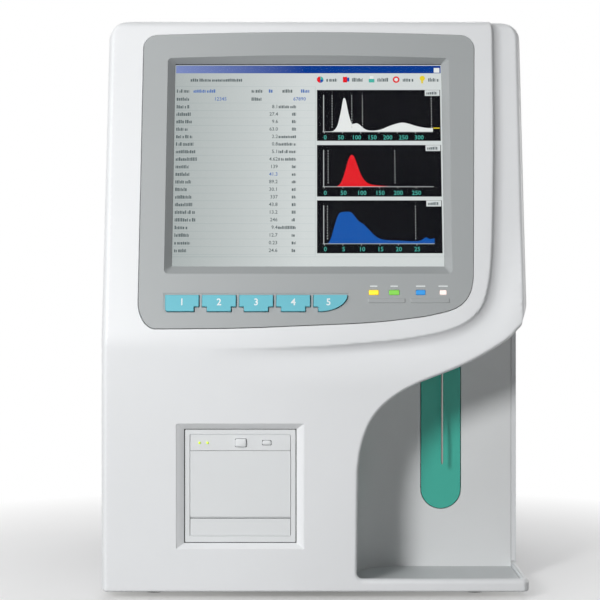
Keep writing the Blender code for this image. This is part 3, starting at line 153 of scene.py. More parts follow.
def flatten(thing):
    """Keep broad faces flat in the shading, so that only the rounded edges turn."""
    return change(thing, "WEIGHTED_NORMAL", keep_sharp=True, weight=100)


def soften(thing, width, segments=3, degrees=30):
    """Round every edge sharper than an angle, as a mould does, and shade the piece smoothly."""
    change(thing, "BEVEL", width=width, segments=segments, limit_method="ANGLE",
           angle_limit=math.radians(degrees), harden_normals=False, use_clamp_overlap=True)
    return flatten(smooth(thing, 40))


def hand_over(thing, body, finish, stands_for=()):
    """Finish a piece: its body, its material and the CAD nodes that it replaces."""
    thing.data.materials.clear()
    thing.data.materials.append(finish)
    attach(thing, body)
    if stands_for:
        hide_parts(*stands_for)
    return thing


def from_mesh(name, bm):
    """An object from a bmesh."""
    mesh = bpy.data.meshes.new(name)
    bm.to_mesh(mesh)
    bm.free()
    return linked(name, mesh)


def copy_of(node, name):
    """A copy of a CAD node with its loose triangles merged and its flat faces made whole again."""
    source = frame["nodes"][node]
    bm = bmesh.new()
    bm.from_mesh(source.data)
    bmesh.ops.remove_doubles(bm, verts=bm.verts, dist=0.002 * MM)
    bmesh.ops.dissolve_limit(bm, angle_limit=math.radians(1), verts=bm.verts, edges=bm.edges)
    return from_mesh(name, bm)


print("tools ready")

# %% [markdown]
# ## Camera
# The photograph looks straight at the front from about 1.3 metres. The long lens keeps the sides nearly
# parallel. A small sideways shift puts the case where the photograph has it.

# %% Camera
CAMERA_HEIGHT = 234 * MM
CAMERA_BACK = 1480 * MM
lens = bpy.data.cameras.new("camera")
lens.lens = 98.4
lens.sensor_width = 36
lens.shift_x = -0.0242
camera = linked("camera", lens)
camera.location = (0, -CAMERA_BACK, CAMERA_HEIGHT)
camera.rotation_euler = (math.radians(90), 0, 0)
bpy.context.scene.camera = camera
bpy.context.scene.view_settings.view_transform = "Standard"
print("camera", round(CAMERA_BACK / MM), "mm from the middle of the case")


# %% [markdown]
# ## Sums on sockets
# A finish is a small circuit of nodes. This class lets a node's output be used in plain arithmetic, so a
# pattern reads as a formula. Each sum adds one Math node.

# %% Sockets that can be added and multiplied
def sums(operation):
    """A method that adds one Math node of this kind."""
    return lambda wire, *others: wire.math(operation, *others)


class Wire:
    """An output socket of a finish. Sums with it add Math nodes."""
    __add__ = __radd__ = sums("ADD")
    __mul__ = __rmul__ = sums("MULTIPLY")
    __sub__ = sums("SUBTRACT")
    __gt__ = sums("GREATER_THAN")
    __lt__ = sums("LESS_THAN")
    wave = sums("SINE")
    root = sums("SQRT")

    def __init__(self, finish, socket):
        self.finish = finish
        self.socket = socket

    def __rsub__(self, other):
        """Makes 1 - mask work."""
        return self * -1 + other

    def math(self, operation, *others):
        sockets = dict(enumerate((self,) + others))
        return self.finish.add("ShaderNodeMath", {"operation": operation}, sockets)

    def between(self, low, high):
        """One where the value lies between two bounds, nought elsewhere."""
        return (self > low) * (self < high)

    def capped(self):
        """The value, held between nought and one."""
        return self.finish.add("ShaderNodeClamp", {}, {"Value": self})


class Finish:
    """A material that is built node by node round one Principled shader."""

    def __init__(self, name, colour, roughness, **constants):
        self.material = bpy.data.materials.new(name)
        self.material.use_nodes = True
        self.tree = self.material.node_tree
        self.shader = self.tree.nodes["Principled BSDF"]
        self.colour = (*colour, 1)
        self.set("Base Color", self.colour)
        self.set("Roughness", roughness)
        for socket, value in constants.items():
            self.set(socket.replace("_", " ").title().replace("Ior", "IOR"), value)

    def set(self, socket, value):
        """Join a wire to one of the shader's sockets, or set a plain value there."""
        self.join(value, self.shader.inputs[socket])

    def join(self, value, socket):
        if isinstance(value, Wire):
            self.tree.links.new(value.socket, socket)
        else:
            socket.default_value = value

    def add(self, kind, settings=None, sockets=None, output=0):
        """Add a node, set it up, join its inputs and return one of its outputs."""
        node = self.tree.nodes.new(kind)
        for key, value in (settings or {}).items():
            setattr(node, key, value)
        for key, value in (sockets or {}).items():
            self.join(value, node.inputs[key])
        return Wire(self, node.outputs[output])

    def places(self):
        return self.add("ShaderNodeTexCoord", output="Object")

    def axes(self):
        """The three coordinates of a point on the piece, in metres."""
        node = self.add("ShaderNodeSeparateXYZ", {}, {0: self.places()}).socket.node
        return [Wire(self, socket) for socket in node.outputs]

    def noise(self, cells, detail=2.0, stretch=(1, 1, 1)):
        """Soft noise between nought and one, with so many cells in a metre."""
        place = self.add("ShaderNodeMapping", {}, {"Vector": self.places(), "Scale": stretch})
        return self.add("ShaderNodeTexNoise", {}, {"Vector": place, "Scale": cells, "Detail": detail})

    def mix(self, share, first, second):
        """One colour where the share is nought, and another where it is one."""
        sockets = {"Factor": share, 6: first, 7: second}
        return self.add("ShaderNodeMix", {"data_type": "RGBA"}, sockets, output=2)

    def tint(self, mask, other):
        """The base colour, changed to another one where the mask is one."""
        self.set("Base Color", self.mix(mask, self.colour, other))

    def bump(self, height, depth, strength):
        """Raise the surface where the height is one, by a depth in metres."""
        sockets = {"Height": height, "Distance": depth, "Strength": strength}
        self.set("Normal", self.add("ShaderNodeBump", {}, sockets))


print("finishes can be built")

# %% [markdown]
# ## Plastics
# The case is satin moulded plastic. Under a lamp such plastic shows a very fine grain, a faint unevenness
# of gloss, and a trace of dust where two parts meet. The grain is a bump of a hundredth of a millimetre,
# and the gloss comes from slow noise in the roughness. One function makes every plastic, so they match.

# %% Plastic finishes
def plastic(name, colour, roughness=0.38, grain=1.0, shade=0.94, **constants):
    """Moulded plastic: fine grain, slightly uneven gloss and a faint cloudiness in its colour."""
    finish = Finish(name, colour, roughness, **constants)
    cloud = finish.noise(9, 3)
    fine = finish.noise(2600, 2)
    coarse = finish.noise(700, 1)
    finish.set("Roughness", cloud * 0.10 + fine * 0.06 + (roughness - 0.08))
    finish.tint((cloud - 0.35) * 1.6, (*[part * shade for part in colour], 1))
    finish.bump(fine * 0.7 + coarse * 0.3, 0.012 * MM * grain, 0.55)
    return finish.material


white = plastic("case_white", (0.83, 0.845, 0.86), 0.36)
inner_white = plastic("bay_white", (0.83, 0.845, 0.85), 0.42)
tray_grey = plastic("tray_grey", (0.60, 0.62, 0.63), 0.40)
bezel_grey = plastic("bezel_grey", (0.385, 0.405, 0.41), 0.40)
door_white = plastic("printer_white", (0.78, 0.80, 0.81), 0.40)
black = plastic("black_plastic", (0.02, 0.021, 0.023), 0.40)
charcoal = plastic("charcoal_plastic", (0.075, 0.08, 0.085), 0.45)
print("plastics:", white.name, inner_white.name, bezel_grey.name, black.name)

# %% [markdown]
# ## The front shell
# The shell is one large moulding: a flat front that bends and leans back, round corners, a soft valley
# round the display, and openings whose edges are rolled over. Cutting holes in a fine solid leaves thin
# slivers that spoil the gloss. So the sheet is planned flat, as a metal worker lays out a blank: across
# the blank is the way round the case, and up the blank is height. The blank is filled with triangles
# between its edges, then each point is lifted to its place on the case by one formula.

# %% The way round the case
CORNER_WIDE = 6 * MM
CORNER_DEEP = 24 * MM
LIP_WIDE = 5.5 * MM
LIP_DEEP = 9 * MM
TOP_CORNER = 14 * MM
TOP_EDGE = 6 * MM
FLAT = HALF - CORNER_WIDE
ROUND = FLAT + 26 * MM
REACH = ROUND + 68 * MM
KEPT = 140 * MM


def front_y(z):
    """The y of the front face at a height: upright, then a bend, then leaning back."""
    rise = z - BEND
    if rise <= -BEND_REACH:
        return FRONT
    if rise >= BEND_REACH:
        return FRONT + rise * SLOPE
    return FRONT + SLOPE * (rise + BEND_REACH) ** 2 / (4 * BEND_REACH)


def lip_corner_at(share, z):
    """The bay's lip has a tighter corner at the right: a short straight, a quarter round and a straight."""
    along = share * (CORNER_WIDE + CORNER_DEEP)
    straight = CORNER_WIDE - LIP_WIDE
    bend = LIP_WIDE + LIP_DEEP
    if along <= straight:
        return Vector((FLAT + along, FRONT, z))
    if along >= straight + bend:
        return Vector((HALF, FRONT + LIP_DEEP + along - straight - bend, z))
    turn = math.pi / 2 * (along - straight) / bend
    return Vector((HALF - LIP_WIDE + LIP_WIDE * math.sin(turn), FRONT + LIP_DEEP * (1 - math.cos(turn)), z))


def on_case(across, z):
    """The place on the case of a point of the blank, before the valley is pressed in."""
    rise = max(0.0, z - (TOP - TOP_CORNER))
    lift = max(0.0, z - (TOP - TOP_EDGE))
    half = HALF - TOP_CORNER + math.sqrt(max(TOP_CORNER ** 2 - rise ** 2, 0))
    front = front_y(z) + TOP_EDGE - math.sqrt(max(TOP_EDGE ** 2 - lift ** 2, 0))
    middle = front_y(z) + CORNER_DEEP
    side = math.copysign(1, across)
    way = abs(across)
    drawn_in = HALF - half
    if way <= FLAT:
        return Vector((across - side * max(way - KEPT, 0) * drawn_in / (FLAT - KEPT), front, z))
    if way <= ROUND and side > 0 and z < 60 * MM:
        return lip_corner_at((way - FLAT) / (ROUND - FLAT), z)
    if way <= ROUND:
        turn = math.pi / 2 * (way - FLAT) / (ROUND - FLAT)
        x = FLAT - drawn_in + CORNER_WIDE * math.sin(turn)
        return Vector((side * x, middle - (middle - front) * math.cos(turn), z))
    share = (way - ROUND) / (REACH - ROUND)
    return Vector((side * half, middle + (SEAM - middle) * share, z))


def across_at(x):
    """The way round the case at which its front reaches an x."""
    way = abs(x)
    if way <= FLAT:
        return x
    turn = math.asin(min((way - FLAT) / CORNER_WIDE, 1))
    return math.copysign(FLAT + turn / (math.pi / 2) * (ROUND - FLAT), x)


print("blank reaches", round(REACH / MM), "mm each way")


# %% [markdown]
# ## Edges of the blank
# Every opening is a closed line on the blank. Its points are spaced evenly and run on smooth curves
# through a few chosen places, because a polygon would show in the glossy rim.

# %% Lines and curves
SPACING = 2.4 * MM


def spaced(points, step=SPACING):
    """Points at even steps along a broken line, first and last kept."""
    lengths = [(Vector(b) - Vector(a)).length for a, b in zip(points, points[1:])]
    count = max(1, round(sum(lengths) / step))
    result = []
    piece, done = 0, 0.0
    for i in range(count):
        goal = sum(lengths) * i / count
        while piece < len(lengths) - 1 and done + lengths[piece] < goal:
            done += lengths[piece]
            piece += 1
        share = (goal - done) / max(lengths[piece], 1e-9)
        result.append(Vector(points[piece]).lerp(Vector(points[piece + 1]), share))
    return result + [Vector(points[-1])]


def flowing(points, step=SPACING):
    """A smooth curve through a few places, as evenly spaced points."""
    ends = [2 * Vector(points[0]) - Vector(points[1]), 2 * Vector(points[-1]) - Vector(points[-2])]
    knots = [ends[0]] + [Vector(p) for p in points] + [ends[1]]
    fine = []
    for a, b, c, d in zip(knots, knots[1:], knots[2:], knots[3:]):
        for i in range(8):
            t = i / 8
            fine.append(0.5 * ((2 * b) + (c - a) * t + (2 * a - 5 * b + 4 * c - d) * t ** 2
                               + (3 * b - a - 3 * c + d) * t ** 3))
    return spaced(fine + [knots[-2]], step)


def sweep(middle, wide, tall, start, end, steps):
    """Points along an arc of an oval about a middle, from one angle to another in degrees."""
    turns = [math.radians(start + (end - start) * i / steps) for i in range(steps + 1)]
    return [Vector((middle[0] + wide * math.cos(t), middle[1] + tall * math.sin(t))) for t in turns]


def bow(middle, radius, start, end, step=SPACING):
    """An arc of a circle with points at about even steps."""
    count = max(3, round(abs(math.radians(end - start)) * radius / step * 1.5))
    return sweep(middle, radius, radius, start, end, count)


def chain(*runs):
    """One line from several runs, without doubled points where they meet."""
    line = list(runs[0])
    for run in runs[1:]:
        line += run[1:] if (run[0] - line[-1]).length < 0.2 * MM else run
    return line


def box_line(low, high, radius):
    """A rectangle with round corners, anticlockwise."""
    line = []
    for right, upper, start in ((1, 0, -90), (1, 1, 0), (0, 1, 90), (0, 0, 180)):
        x = high[0] - radius if right else low[0] + radius
        z = high[1] - radius if upper else low[1] + radius
        line += bow((x, z), radius, start, start + 90, 1 * MM)
    return closed(line)


def closed(line, step=SPACING):
    """A closed line of even steps that keeps its corners tight."""
    result = []
    for a, b in zip(line, line[1:] + line[:1]):
        result += spaced([a, b], step)[:-1] if (b - a).length > 0.05 * MM else []
    return result


print("curves ready")

# %% [markdown]
# The bay's upper edge is the line that makes this case: it leaves the left wall upright, swings over in
# a quarter turn, climbs gently and turns up again at the right side. The display's bezel has a lower
# edge that rises to the right in the same spirit.

# %% The bay, the bezel and the printer as lines
BAY_LEFT = 33 * MM
BAY_LIP = 16 * MM
BAY_SHOULDER = 100 * MM
BAY_TOP = 234 * MM
BAY_CURVE = ((0.006, 0.000), (0.020, 0.111), (0.042, 0.200), (0.070, 0.272), (0.108, 0.333), (0.158, 0.389),
             (0.224, 0.442), (0.290, 0.483), (0.378, 0.526), (0.489, 0.570), (0.576, 0.606), (0.665, 0.648),
             (0.753, 0.696), (0.841, 0.750), (0.900, 0.797), (0.945, 0.845), (0.980, 0.915), (1.000, 1.000))
BEZEL_LOW = 211.6 * MM
BEZEL_TOP = 450.8 * MM
BEZEL_CORNER = 11 * MM
BEZEL_ARCH = 2.4 * MM
BEZEL_FOOT = (14 * MM, 21.6 * MM)
BEZEL_CURVE = ((0.078, 0.0002), (0.160, 0.001), (0.300, 0.003), (0.487, 0.011), (0.679, 0.021),
               (0.815, 0.037), (0.867, 0.047), (0.919, 0.062), (0.952, 0.083), (0.974, 0.118),
               (0.984, 0.165))


def bay_curve():
    """The bay's upper edge, on the blank."""
    wide, tall = HALF - BAY_LEFT, BAY_TOP - BAY_SHOULDER
    return flowing([(across_at(BAY_LEFT + a * wide), BAY_SHOULDER + up * tall) for a, up in BAY_CURVE])


def bezel_line():
    """The bezel's outline seen from the front, anticlockwise from its lower left. Its left foot is oval."""
    left, right = bezel_low.x, bezel_high.x
    lower = flowing([(left + a * (right - left), BEZEL_LOW + up * (BEZEL_TOP - BEZEL_LOW))
                     for a, up in BEZEL_CURVE])
    shoulder = BEZEL_TOP - BEZEL_ARCH - BEZEL_CORNER
    east = bow((right - BEZEL_CORNER, shoulder), BEZEL_CORNER, 0, 90)
    west = bow((left + BEZEL_CORNER, shoulder), BEZEL_CORNER, 90, 180)
    arch = flowing([(east[-1].lerp(west[0], i / 8)).to_tuple() for i in range(9)])
    rises = [BEZEL_ARCH * math.sin(math.pi * i / (len(arch) - 1)) for i in range(len(arch))]
    arch = [spot + Vector((0, rise)) for spot, rise in zip(arch, rises)]
    foot_wide, foot_tall = BEZEL_FOOT
    foot = sweep((left + foot_wide, BEZEL_LOW + foot_tall), foot_wide, foot_tall, 180, 266, 12)
    return chain(lower, spaced([lower[-1], east[0]]), east, arch, west, spaced([west[-1], foot[0]]), foot,
                 spaced([foot[-1], lower[0]]))[:-1]


def shift(line, distance):
    """A closed anticlockwise line, moved outwards by a distance, or by one distance for each point."""
    result = []
    for i, here in enumerate(line):
        before = here - line[i - 1]
        after = line[(i + 1) % len(line)] - here
        out = Vector((before.y, -before.x)).normalized() + Vector((after.y, -after.x)).normalized()
        by = distance[i] if isinstance(distance, list) else distance
        result.append(here + out.normalized() * by / max(out.length / 2, 0.5))
    return result


bezel_edge = bezel_line()
printer_edge = box_line((frame_low.x, frame_low.z), (frame_high.x, frame_high.z), 1.2 * MM)
print("bezel line", len(bezel_edge), "points, printer line", len(printer_edge))

# %% [markdown]
# A valley sets the display's field off from the rest. It is steep on the side of the display. On the
# other side it climbs only part of the way back, so the outer band lies a little deeper. It fades out
# under the keys, low on the front and round the corner. Its depth is a formula of the distance from one
# curve, which runs down the right side and turns to the left under the bezel.

# %% The valley
VALLEY = ((144.5, 470.0), (143.6, 380), (142.4, 330), (140.6, 285), (138.6, 258), (135.4, 240),
          (131.8, 230.5), (126.8, 223.2), (119.8, 217.4), (111.5, 213.0), (98, 208.6), (80, 205.0),
          (60, 202.2), (20, 198.6), (-10, 197.0), (-60, 195.6), (-110, 195.0))
VALLEY_DEPTH = 6.0 * MM
VALLEY_START = 1.2 * MM
VALLEY_FLOOR = 11 * MM
RAMP_START, RAMP_WIDE = 7 * MM, 26 * MM
VALLEY_LOWEST, LOW_FADE = 165 * MM, 35 * MM
VALLEY_LEFT, LEFT_FADE = -95 * MM, 150 * MM
VALLEY_RIGHT, RIGHT_FADE = FLAT, 28 * MM
BAND_START, BAND_FADE = 225 * MM, 90 * MM
valley = flowing([(x * MM, z * MM) for x, z in VALLEY], 1.5 * MM)


def tree_of(spots):
    """A search tree over points of the blank."""
    tree = KDTree(len(spots))
    for i, spot in enumerate(spots):
        tree.insert((spot[0], spot[1], 0), i)
    tree.balance()
    return tree


valley_tree = tree_of(valley)


def ease(share):
    """A soft start and a soft end between nought and one."""
    share = min(max(share, 0.0), 1.0)
    return share * share * (3 - 2 * share)


def valley_depth(across, z):
    """How far the valley presses the face in at a point of the blank."""
    if z < VALLEY_LOWEST or across < VALLEY_LEFT or across > VALLEY_RIGHT + RIGHT_FADE:
        return 0.0
    here = Vector((across, z))
    near = min(max(valley_tree.find((across, z, 0))[1], 1), len(valley) - 2)
    along = (valley[near + 1] - valley[near - 1]).normalized()
    offset = here - valley[near]
    out = offset.x * -along.y + offset.y * along.x
    strength = ease((across - VALLEY_LEFT) / LEFT_FADE) * (1 - ease((across - VALLEY_RIGHT) / RIGHT_FADE))
    fall = min(max((out + VALLEY_START) / VALLEY_FLOOR, 0.0), 1.0)
    press = (1 - (1 - fall) ** 2.6) * ease((out + VALLEY_START) / (2 * VALLEY_START))
    kept = 0.45 + 0.5 * ease((valley[near].y - BAND_START) / BAND_FADE)
    press *= 1 - (1 - kept) * ease((out - RAMP_START) / RAMP_WIDE)
    press *= ease((z - VALLEY_LOWEST) / LOW_FADE)
    return VALLEY_DEPTH * strength * press


print("valley has", len(valley), "points")

# %% [markdown]
# ## Filling and lifting the blank
# The blank's points are the edge lines and a honeycomb of points between them, denser along the valley.
# A constrained triangulation joins them. The rim of each opening is a quarter round that turns into the
# wall of the sheet, so the light runs along it as it does on a real moulding.

# %% Height on the blank
TOP_WAY = TOP - TOP_EDGE + TOP_EDGE * math.pi / 2


def lifted(way):
    """The height in the room of a height on the blank: the top edge is rolled over."""
    if way <= TOP - TOP_EDGE:
        return way
    return TOP - TOP_EDGE + TOP_EDGE * math.sin(min((way - TOP + TOP_EDGE) / TOP_EDGE, math.pi / 2))


def on_shell(spot, pressed=True):
    """The place on the shell of a point of the blank."""
    z = lifted(spot[1])
    place = on_case(spot[0], z)
    depth = valley_depth(spot[0], z) if pressed else 0.0
    return place + Vector((0, depth, 0)) if depth else place


def facing(spot, pressed=True):
    """The direction that the shell faces at a point of the blank."""
    step = 0.3 * MM
    across = (on_shell((min(spot[0] + step, REACH), spot[1]), pressed)
              - on_shell((max(spot[0] - step, -REACH), spot[1]), pressed))
    up = (on_shell((spot[0], min(spot[1] + step, TOP_WAY)), pressed)
          - on_shell((spot[0], spot[1] - step), pressed))
    return across.cross(up).normalized()


def inside(line, spots):
    """For each point of the blank, whether it lies within a closed line."""
    x, y = np.array(spots).T
    within = np.zeros(len(x), bool)
    for a, b in zip(line, line[1:] + line[:1]):
        if a.y != b.y:
            spans = (a.y > y) != (b.y > y)
            within ^= spans & (x < (b.x - a.x) * (y - a.y) / (b.y - a.y) + a.x)
    return within


print("the blank is", round(TOP_WAY / MM), "mm tall")

# %% The blank's outer line and its holes
WALL = 4 * MM
LIP_TURN = 4.5 * MM
EDGE_RIM, FOOT_RIM, LIP_RIM, BAY_RIM = 0.35 * MM, 1.8 * MM, 3.9 * MM, 2.3 * MM
lip_corner = bow((BAY_LEFT + LIP_TURN, BAY_LIP + LIP_TURN), LIP_TURN, 270, 180, 1 * MM)
curve = bay_curve()
outer_line = chain(
    spaced([(-REACH, TOP_WAY), (-REACH, BOTTOM)]),
    spaced([(-REACH, BOTTOM), (REACH, BOTTOM)]),
    spaced([(REACH, BOTTOM), (REACH, BAY_LIP)], 1.2 * MM),
    spaced([(REACH, BAY_LIP), (BAY_LEFT + LIP_TURN, BAY_LIP)]),
    lip_corner,
    spaced([lip_corner[-1], curve[0]]),
    curve,
    spaced([curve[-1], (REACH, BAY_TOP)]),
    spaced([(REACH, BAY_TOP), (REACH, TOP_WAY)]))
top_line = spaced([(REACH, TOP_WAY), (-REACH, TOP_WAY)])[1:-1]


def rim_at(spot):
    """The radius of the rolled rim at a place on the outer line."""
    if abs(spot[0]) > REACH - 4 * MM or spot[1] > TOP_WAY - 1 * MM:
        return EDGE_RIM
    if spot[1] < BOTTOM + 1 * MM:
        return FOOT_RIM
    return LIP_RIM if spot[1] < BAY_LIP + 1 * MM else BAY_RIM


rims = [rim_at(spot) for spot in outer_line]
for _ in range(4):
    rims = [rims[0]] + [(a + b + c) / 3 for a, b, c in zip(rims, rims[1:], rims[2:])] + [rims[-1]]
print("outer line", len(outer_line), "points")

# %% A sheet from lines on the blank
RIM_STEPS = 5


def ring_of(line, rim, k):
    """A closed line, rolled inwards by step k of its rim: places and directions."""
    turn = math.pi / 2 * k / RIM_STEPS
    result = []
    for here, out, radius in zip(line, directions(line), rim):
        root = here - out * radius
        spot = root + out * radius * math.sin(turn)
        face = facing(root)
        side = (on_shell(root + out * 0.2 * MM) - on_shell(root)).normalized()
        place = on_shell(spot) - face * radius * (1 - math.cos(turn))
        result.append((place, (face * math.cos(turn) + side * math.sin(turn)).normalized()))
    return result


def directions(line):
    """The way out of the sheet, square to a closed line that runs with the sheet on its left."""
    result = []
    for i, here in enumerate(line):
        before = (here - line[i - 1]).normalized()
        after = (line[(i + 1) % len(line)] - here).normalized()
        result.append(Vector((before.y + after.y, -before.x - after.x)).normalized())
    return result


def honeycomb(step):
    """Points in staggered rows over the whole blank."""
    rows = int((TOP_WAY - BOTTOM) / (step * 0.866)) + 1
    for row in range(rows):
        z = BOTTOM + row * step * 0.866
        for column in range(int(2 * REACH / step) + 1):
            yield Vector((-REACH + (column + 0.5 * (row % 2)) * step, z))


def on_sheet(edges, spots):
    """For each point of the blank, whether it lies within the outer line and in none of the holes."""
    kept = inside(edges[0], spots)
    for hole in edges[1:]:
        kept &= ~inside(hole, spots)
    return kept


def fill(lines, rims, step=3.2 * MM):
    """Triangles between closed lines. The first line is the outer one and the others are holes."""
    edges = [[here - out * radius for here, out, radius in zip(line, directions(line), rim)]
             for line, rim in zip(lines, rims)]
    spots = [spot for line in edges for spot in line]
    links = []
    start = 0
    for line in edges:
        links += [(start + i, start + (i + 1) % len(line)) for i in range(len(line))]
        start += len(line)
    near = tree_of(spots)

    def is_fine(spot):
        return spot.x > -90 * MM and valley_tree.find((spot.x, spot.y, 0))[2] < 11 * MM

    inner = [spot for spot in honeycomb(step) if not is_fine(spot)]
    inner += [spot for spot in honeycomb(step / 2) if is_fine(spot)]
    inner = [spot for spot in inner
             if near.find((spot.x, spot.y, 0))[2] > (0.4 if is_fine(spot) else 0.55) * step]
    inner = [spot for spot, kept in zip(inner, on_sheet(edges, inner)) if kept]
    placed, _, faces, _, _, _ = delaunay_2d_cdt(spots + inner, links, [], 0, 1e-7)
    middles = [sum((placed[i] for i in face), Vector((0, 0))) / 3 for face in faces]
    faces = [face for face, kept in zip(faces, on_sheet(edges, middles)) if kept]
    return placed, faces, [len(line) for line in edges]


print("sheet tools ready")

# %% [markdown]
# The sheet becomes a solid: an outer skin, rolled rims, a wall through each opening, and an inner skin
# that follows the valley 4 mm behind. The gloss follows the direction that each point faces by the
# formula, not by the triangles, so no facet shows.

# %% The front shell
def build_sheet(name, lines, rims, walls, top_count):
    """A closed solid from the blank. Each line has its own depth of wall; the top line gets a cap."""
    placed, faces, counts = fill(lines, rims)
    verts = [on_shell(spot) for spot in placed]
    normals = [facing(spot) for spot in placed]
    polygons = [tuple(face) for face in faces]
    back_start = len(verts)
    verts += [on_shell(spot) - facing(spot, False) * WALL for spot in placed]
    normals += [-facing(spot, False) for spot in placed]
    polygons += [tuple(back_start + i for i in reversed(face)) for face in faces]
    start = 0
    for line, rim, wall, count in zip(lines, rims, walls, counts):
        rings = [list(range(start, start + count))]
        for k in range(1, RIM_STEPS + 2):
            ring = ring_of(line, rim, min(k, RIM_STEPS))
            if k > RIM_STEPS:
                ring = [(place - facing(here - out * radius) * max(wall - radius, 0), normal)
                        for (place, normal), here, out, radius in zip(ring, line, directions(line), rim)]
            rings.append(list(range(len(verts), len(verts) + count)))
            verts += [place for place, _ in ring]
            normals += [normal for _, normal in ring]
        rings.append([back_start + i for i in range(start, start + count)])
        gap = top_count + 1 if start == 0 else 0
        for near, far in zip(rings, rings[1:]):
            for i in range(count - gap):
                j = (i + 1) % count
                polygons.append((near[i], far[i], far[j], near[j]))
        if start == 0:
            ends = [rings[0][-top_count:], rings[-1][-top_count:]]
            first, last = [ring[0] for ring in rings], [ring[count - gap] for ring in rings]
            polygons += [tuple(reversed([last[0]] + ends[0] + [first[0]])),
                         tuple([last[-1]] + ends[1] + [first[-1]]), tuple(first[::-1] + last)]
        start += count
    mesh = bpy.data.meshes.new(name)
    mesh.from_pydata([tuple(v) for v in verts], [], polygons)
    mesh.update()
    mesh.shade_smooth()
    mesh.normals_split_custom_set_from_vertices([tuple(n) for n in normals])
    return linked(name, mesh)


BEZEL_RIM, PRINTER_RIM = 0.7 * MM, 0.5 * MM
BEZEL_GAP = 0.4 * MM
bezel_hole = shift(bezel_edge, BEZEL_GAP)[::-1]
printer_hole = printer_edge[::-1]
shell_lines = [outer_line + top_line, bezel_hole, printer_hole]
shell_rims = [rims + [EDGE_RIM] * len(top_line), [BEZEL_RIM] * len(bezel_hole),
              [PRINTER_RIM] * len(printer_hole)]
shell = build_sheet("case_front", shell_lines, shell_rims, (WALL, WALL, 0.6 * MM), len(top_line))
hand_over(shell, "chassis", white, ["front_shell"])
print("front shell", len(shell.data.polygons), "faces")

# %% [markdown]
# Between the shell and the ceiling of the bay is a dark gap at the right side. A thin strip behind the
# shell closes it. Its lower edge follows the bay's upper edge and stays just out of sight.

# %% A strip behind the shell
STRIP_STEPS = 70
STRIP_START = FLAT - 6 * MM
STRIP_END = REACH - 0.5 * MM
STRIP_TOP = 238 * MM
STRIP_LOWEST_TOP = 225.5 * MM
STRIP_NEAR, STRIP_FAR = 4.05 * MM, 5.0 * MM
ceiling_x = [on_case(spot.x, 200 * MM).x for spot in curve]
ceiling_z = [spot.y for spot in curve]
strip = bmesh.new()
rows = []
for i in range(STRIP_STEPS + 1):
    way = STRIP_START + (STRIP_END - STRIP_START) * i / STRIP_STEPS
    out = facing((way, 230 * MM), False)
    x = on_case(way, 230 * MM).x - 4.5 * MM * out.x
    hidden = 2.8 * MM if way < ROUND - 9 * MM else 1.2 * MM
    low = min(float(np.interp(x, ceiling_x, ceiling_z)) + hidden, STRIP_LOWEST_TOP)
    corners = ((low, STRIP_NEAR), (STRIP_TOP, STRIP_NEAR), (STRIP_TOP, STRIP_FAR), (low, STRIP_FAR))
    rows.append([strip.verts.new(on_shell((way, z)) - out * inset) for z, inset in corners])
for near, far in zip(rows, rows[1:]):
    for i in range(4):
        strip.faces.new((near[i], near[i - 1], far[i - 1], far[i]))
strip.faces.new(rows[0])
strip.faces.new(rows[-1])
bmesh.ops.recalc_face_normals(strip, faces=strip.faces)
strip = smooth(from_mesh("ceiling_strip", strip), 35)
hand_over(strip, "chassis", inner_white)
print("ceiling strip with", len(rows), "rows")

# %% [markdown]
# ## Plates and lofts
# Most of the smaller parts are an outline with a thickness. A circle primitive with as many points as
# the outline is added, its points are moved onto the outline, and the face is pushed out in edit mode.
# Parts on the leaning front are made upright and then laid back with it.

# %% Tools for outlines
FACE_TURN = Matrix.Translation(FACE_MIDDLE) @ Matrix.Rotation(-LEAN, 4, "X")
UPRIGHT = Matrix.Identity(4)


def up_face(z):
    """A height in the room as a distance up the leaning face."""
    return (z - FACE_MIDDLE.z) / math.cos(LEAN)


def plate(name, line, front, back, turn=UPRIGHT):
    """An outline seen from the front, pushed back from one depth to another."""
    thing = made(bpy.ops.mesh.primitive_circle_add, vertices=len(line), fill_type="NGON")
    thing.name = name
    for vertex, spot in zip(thing.data.vertices, line):
        vertex.co = (spot[0], front, spot[1])
    bpy.ops.object.mode_set(mode="EDIT")
    bpy.ops.mesh.select_all(action="SELECT")
    bpy.ops.mesh.extrude_region_move(TRANSFORM_OT_translate={"value": (0, back - front, 0)})
    bpy.ops.mesh.select_all(action="SELECT")
    bpy.ops.mesh.normals_make_consistent(inside=False)
    bpy.ops.object.mode_set(mode="OBJECT")
    thing.data.transform(turn)
    return thing


def loft(name, rings, turn=UPRIGHT, hollow=False):
    """A solid through outlines at several depths. A hollow one joins the last outline to the first."""
    bm = bmesh.new()
    rows = [[bm.verts.new((x, depth, z)) for x, z in line] for depth, line in rings]
    for near, far in zip(rows, rows[1:] + (rows[:1] if hollow else [])):
        for i in range(len(near)):
            j = (i + 1) % len(near)
            bm.faces.new((near[i], near[j], far[j], far[i]))
    if not hollow:
        bm.faces.new(rows[0])
        bm.faces.new(rows[-1])
    bmesh.ops.recalc_face_normals(bm, faces=bm.faces)
    bmesh.ops.transform(bm, matrix=turn, verts=bm.verts)
    return from_mesh(name, bm)


def carve(thing, *tools):
    """Cut tools out of a piece and throw them away."""
    for tool in tools:
        change(thing, "BOOLEAN", operation="DIFFERENCE", solver="EXACT", object=tool)
        bpy.data.objects.remove(tool)
    return thing


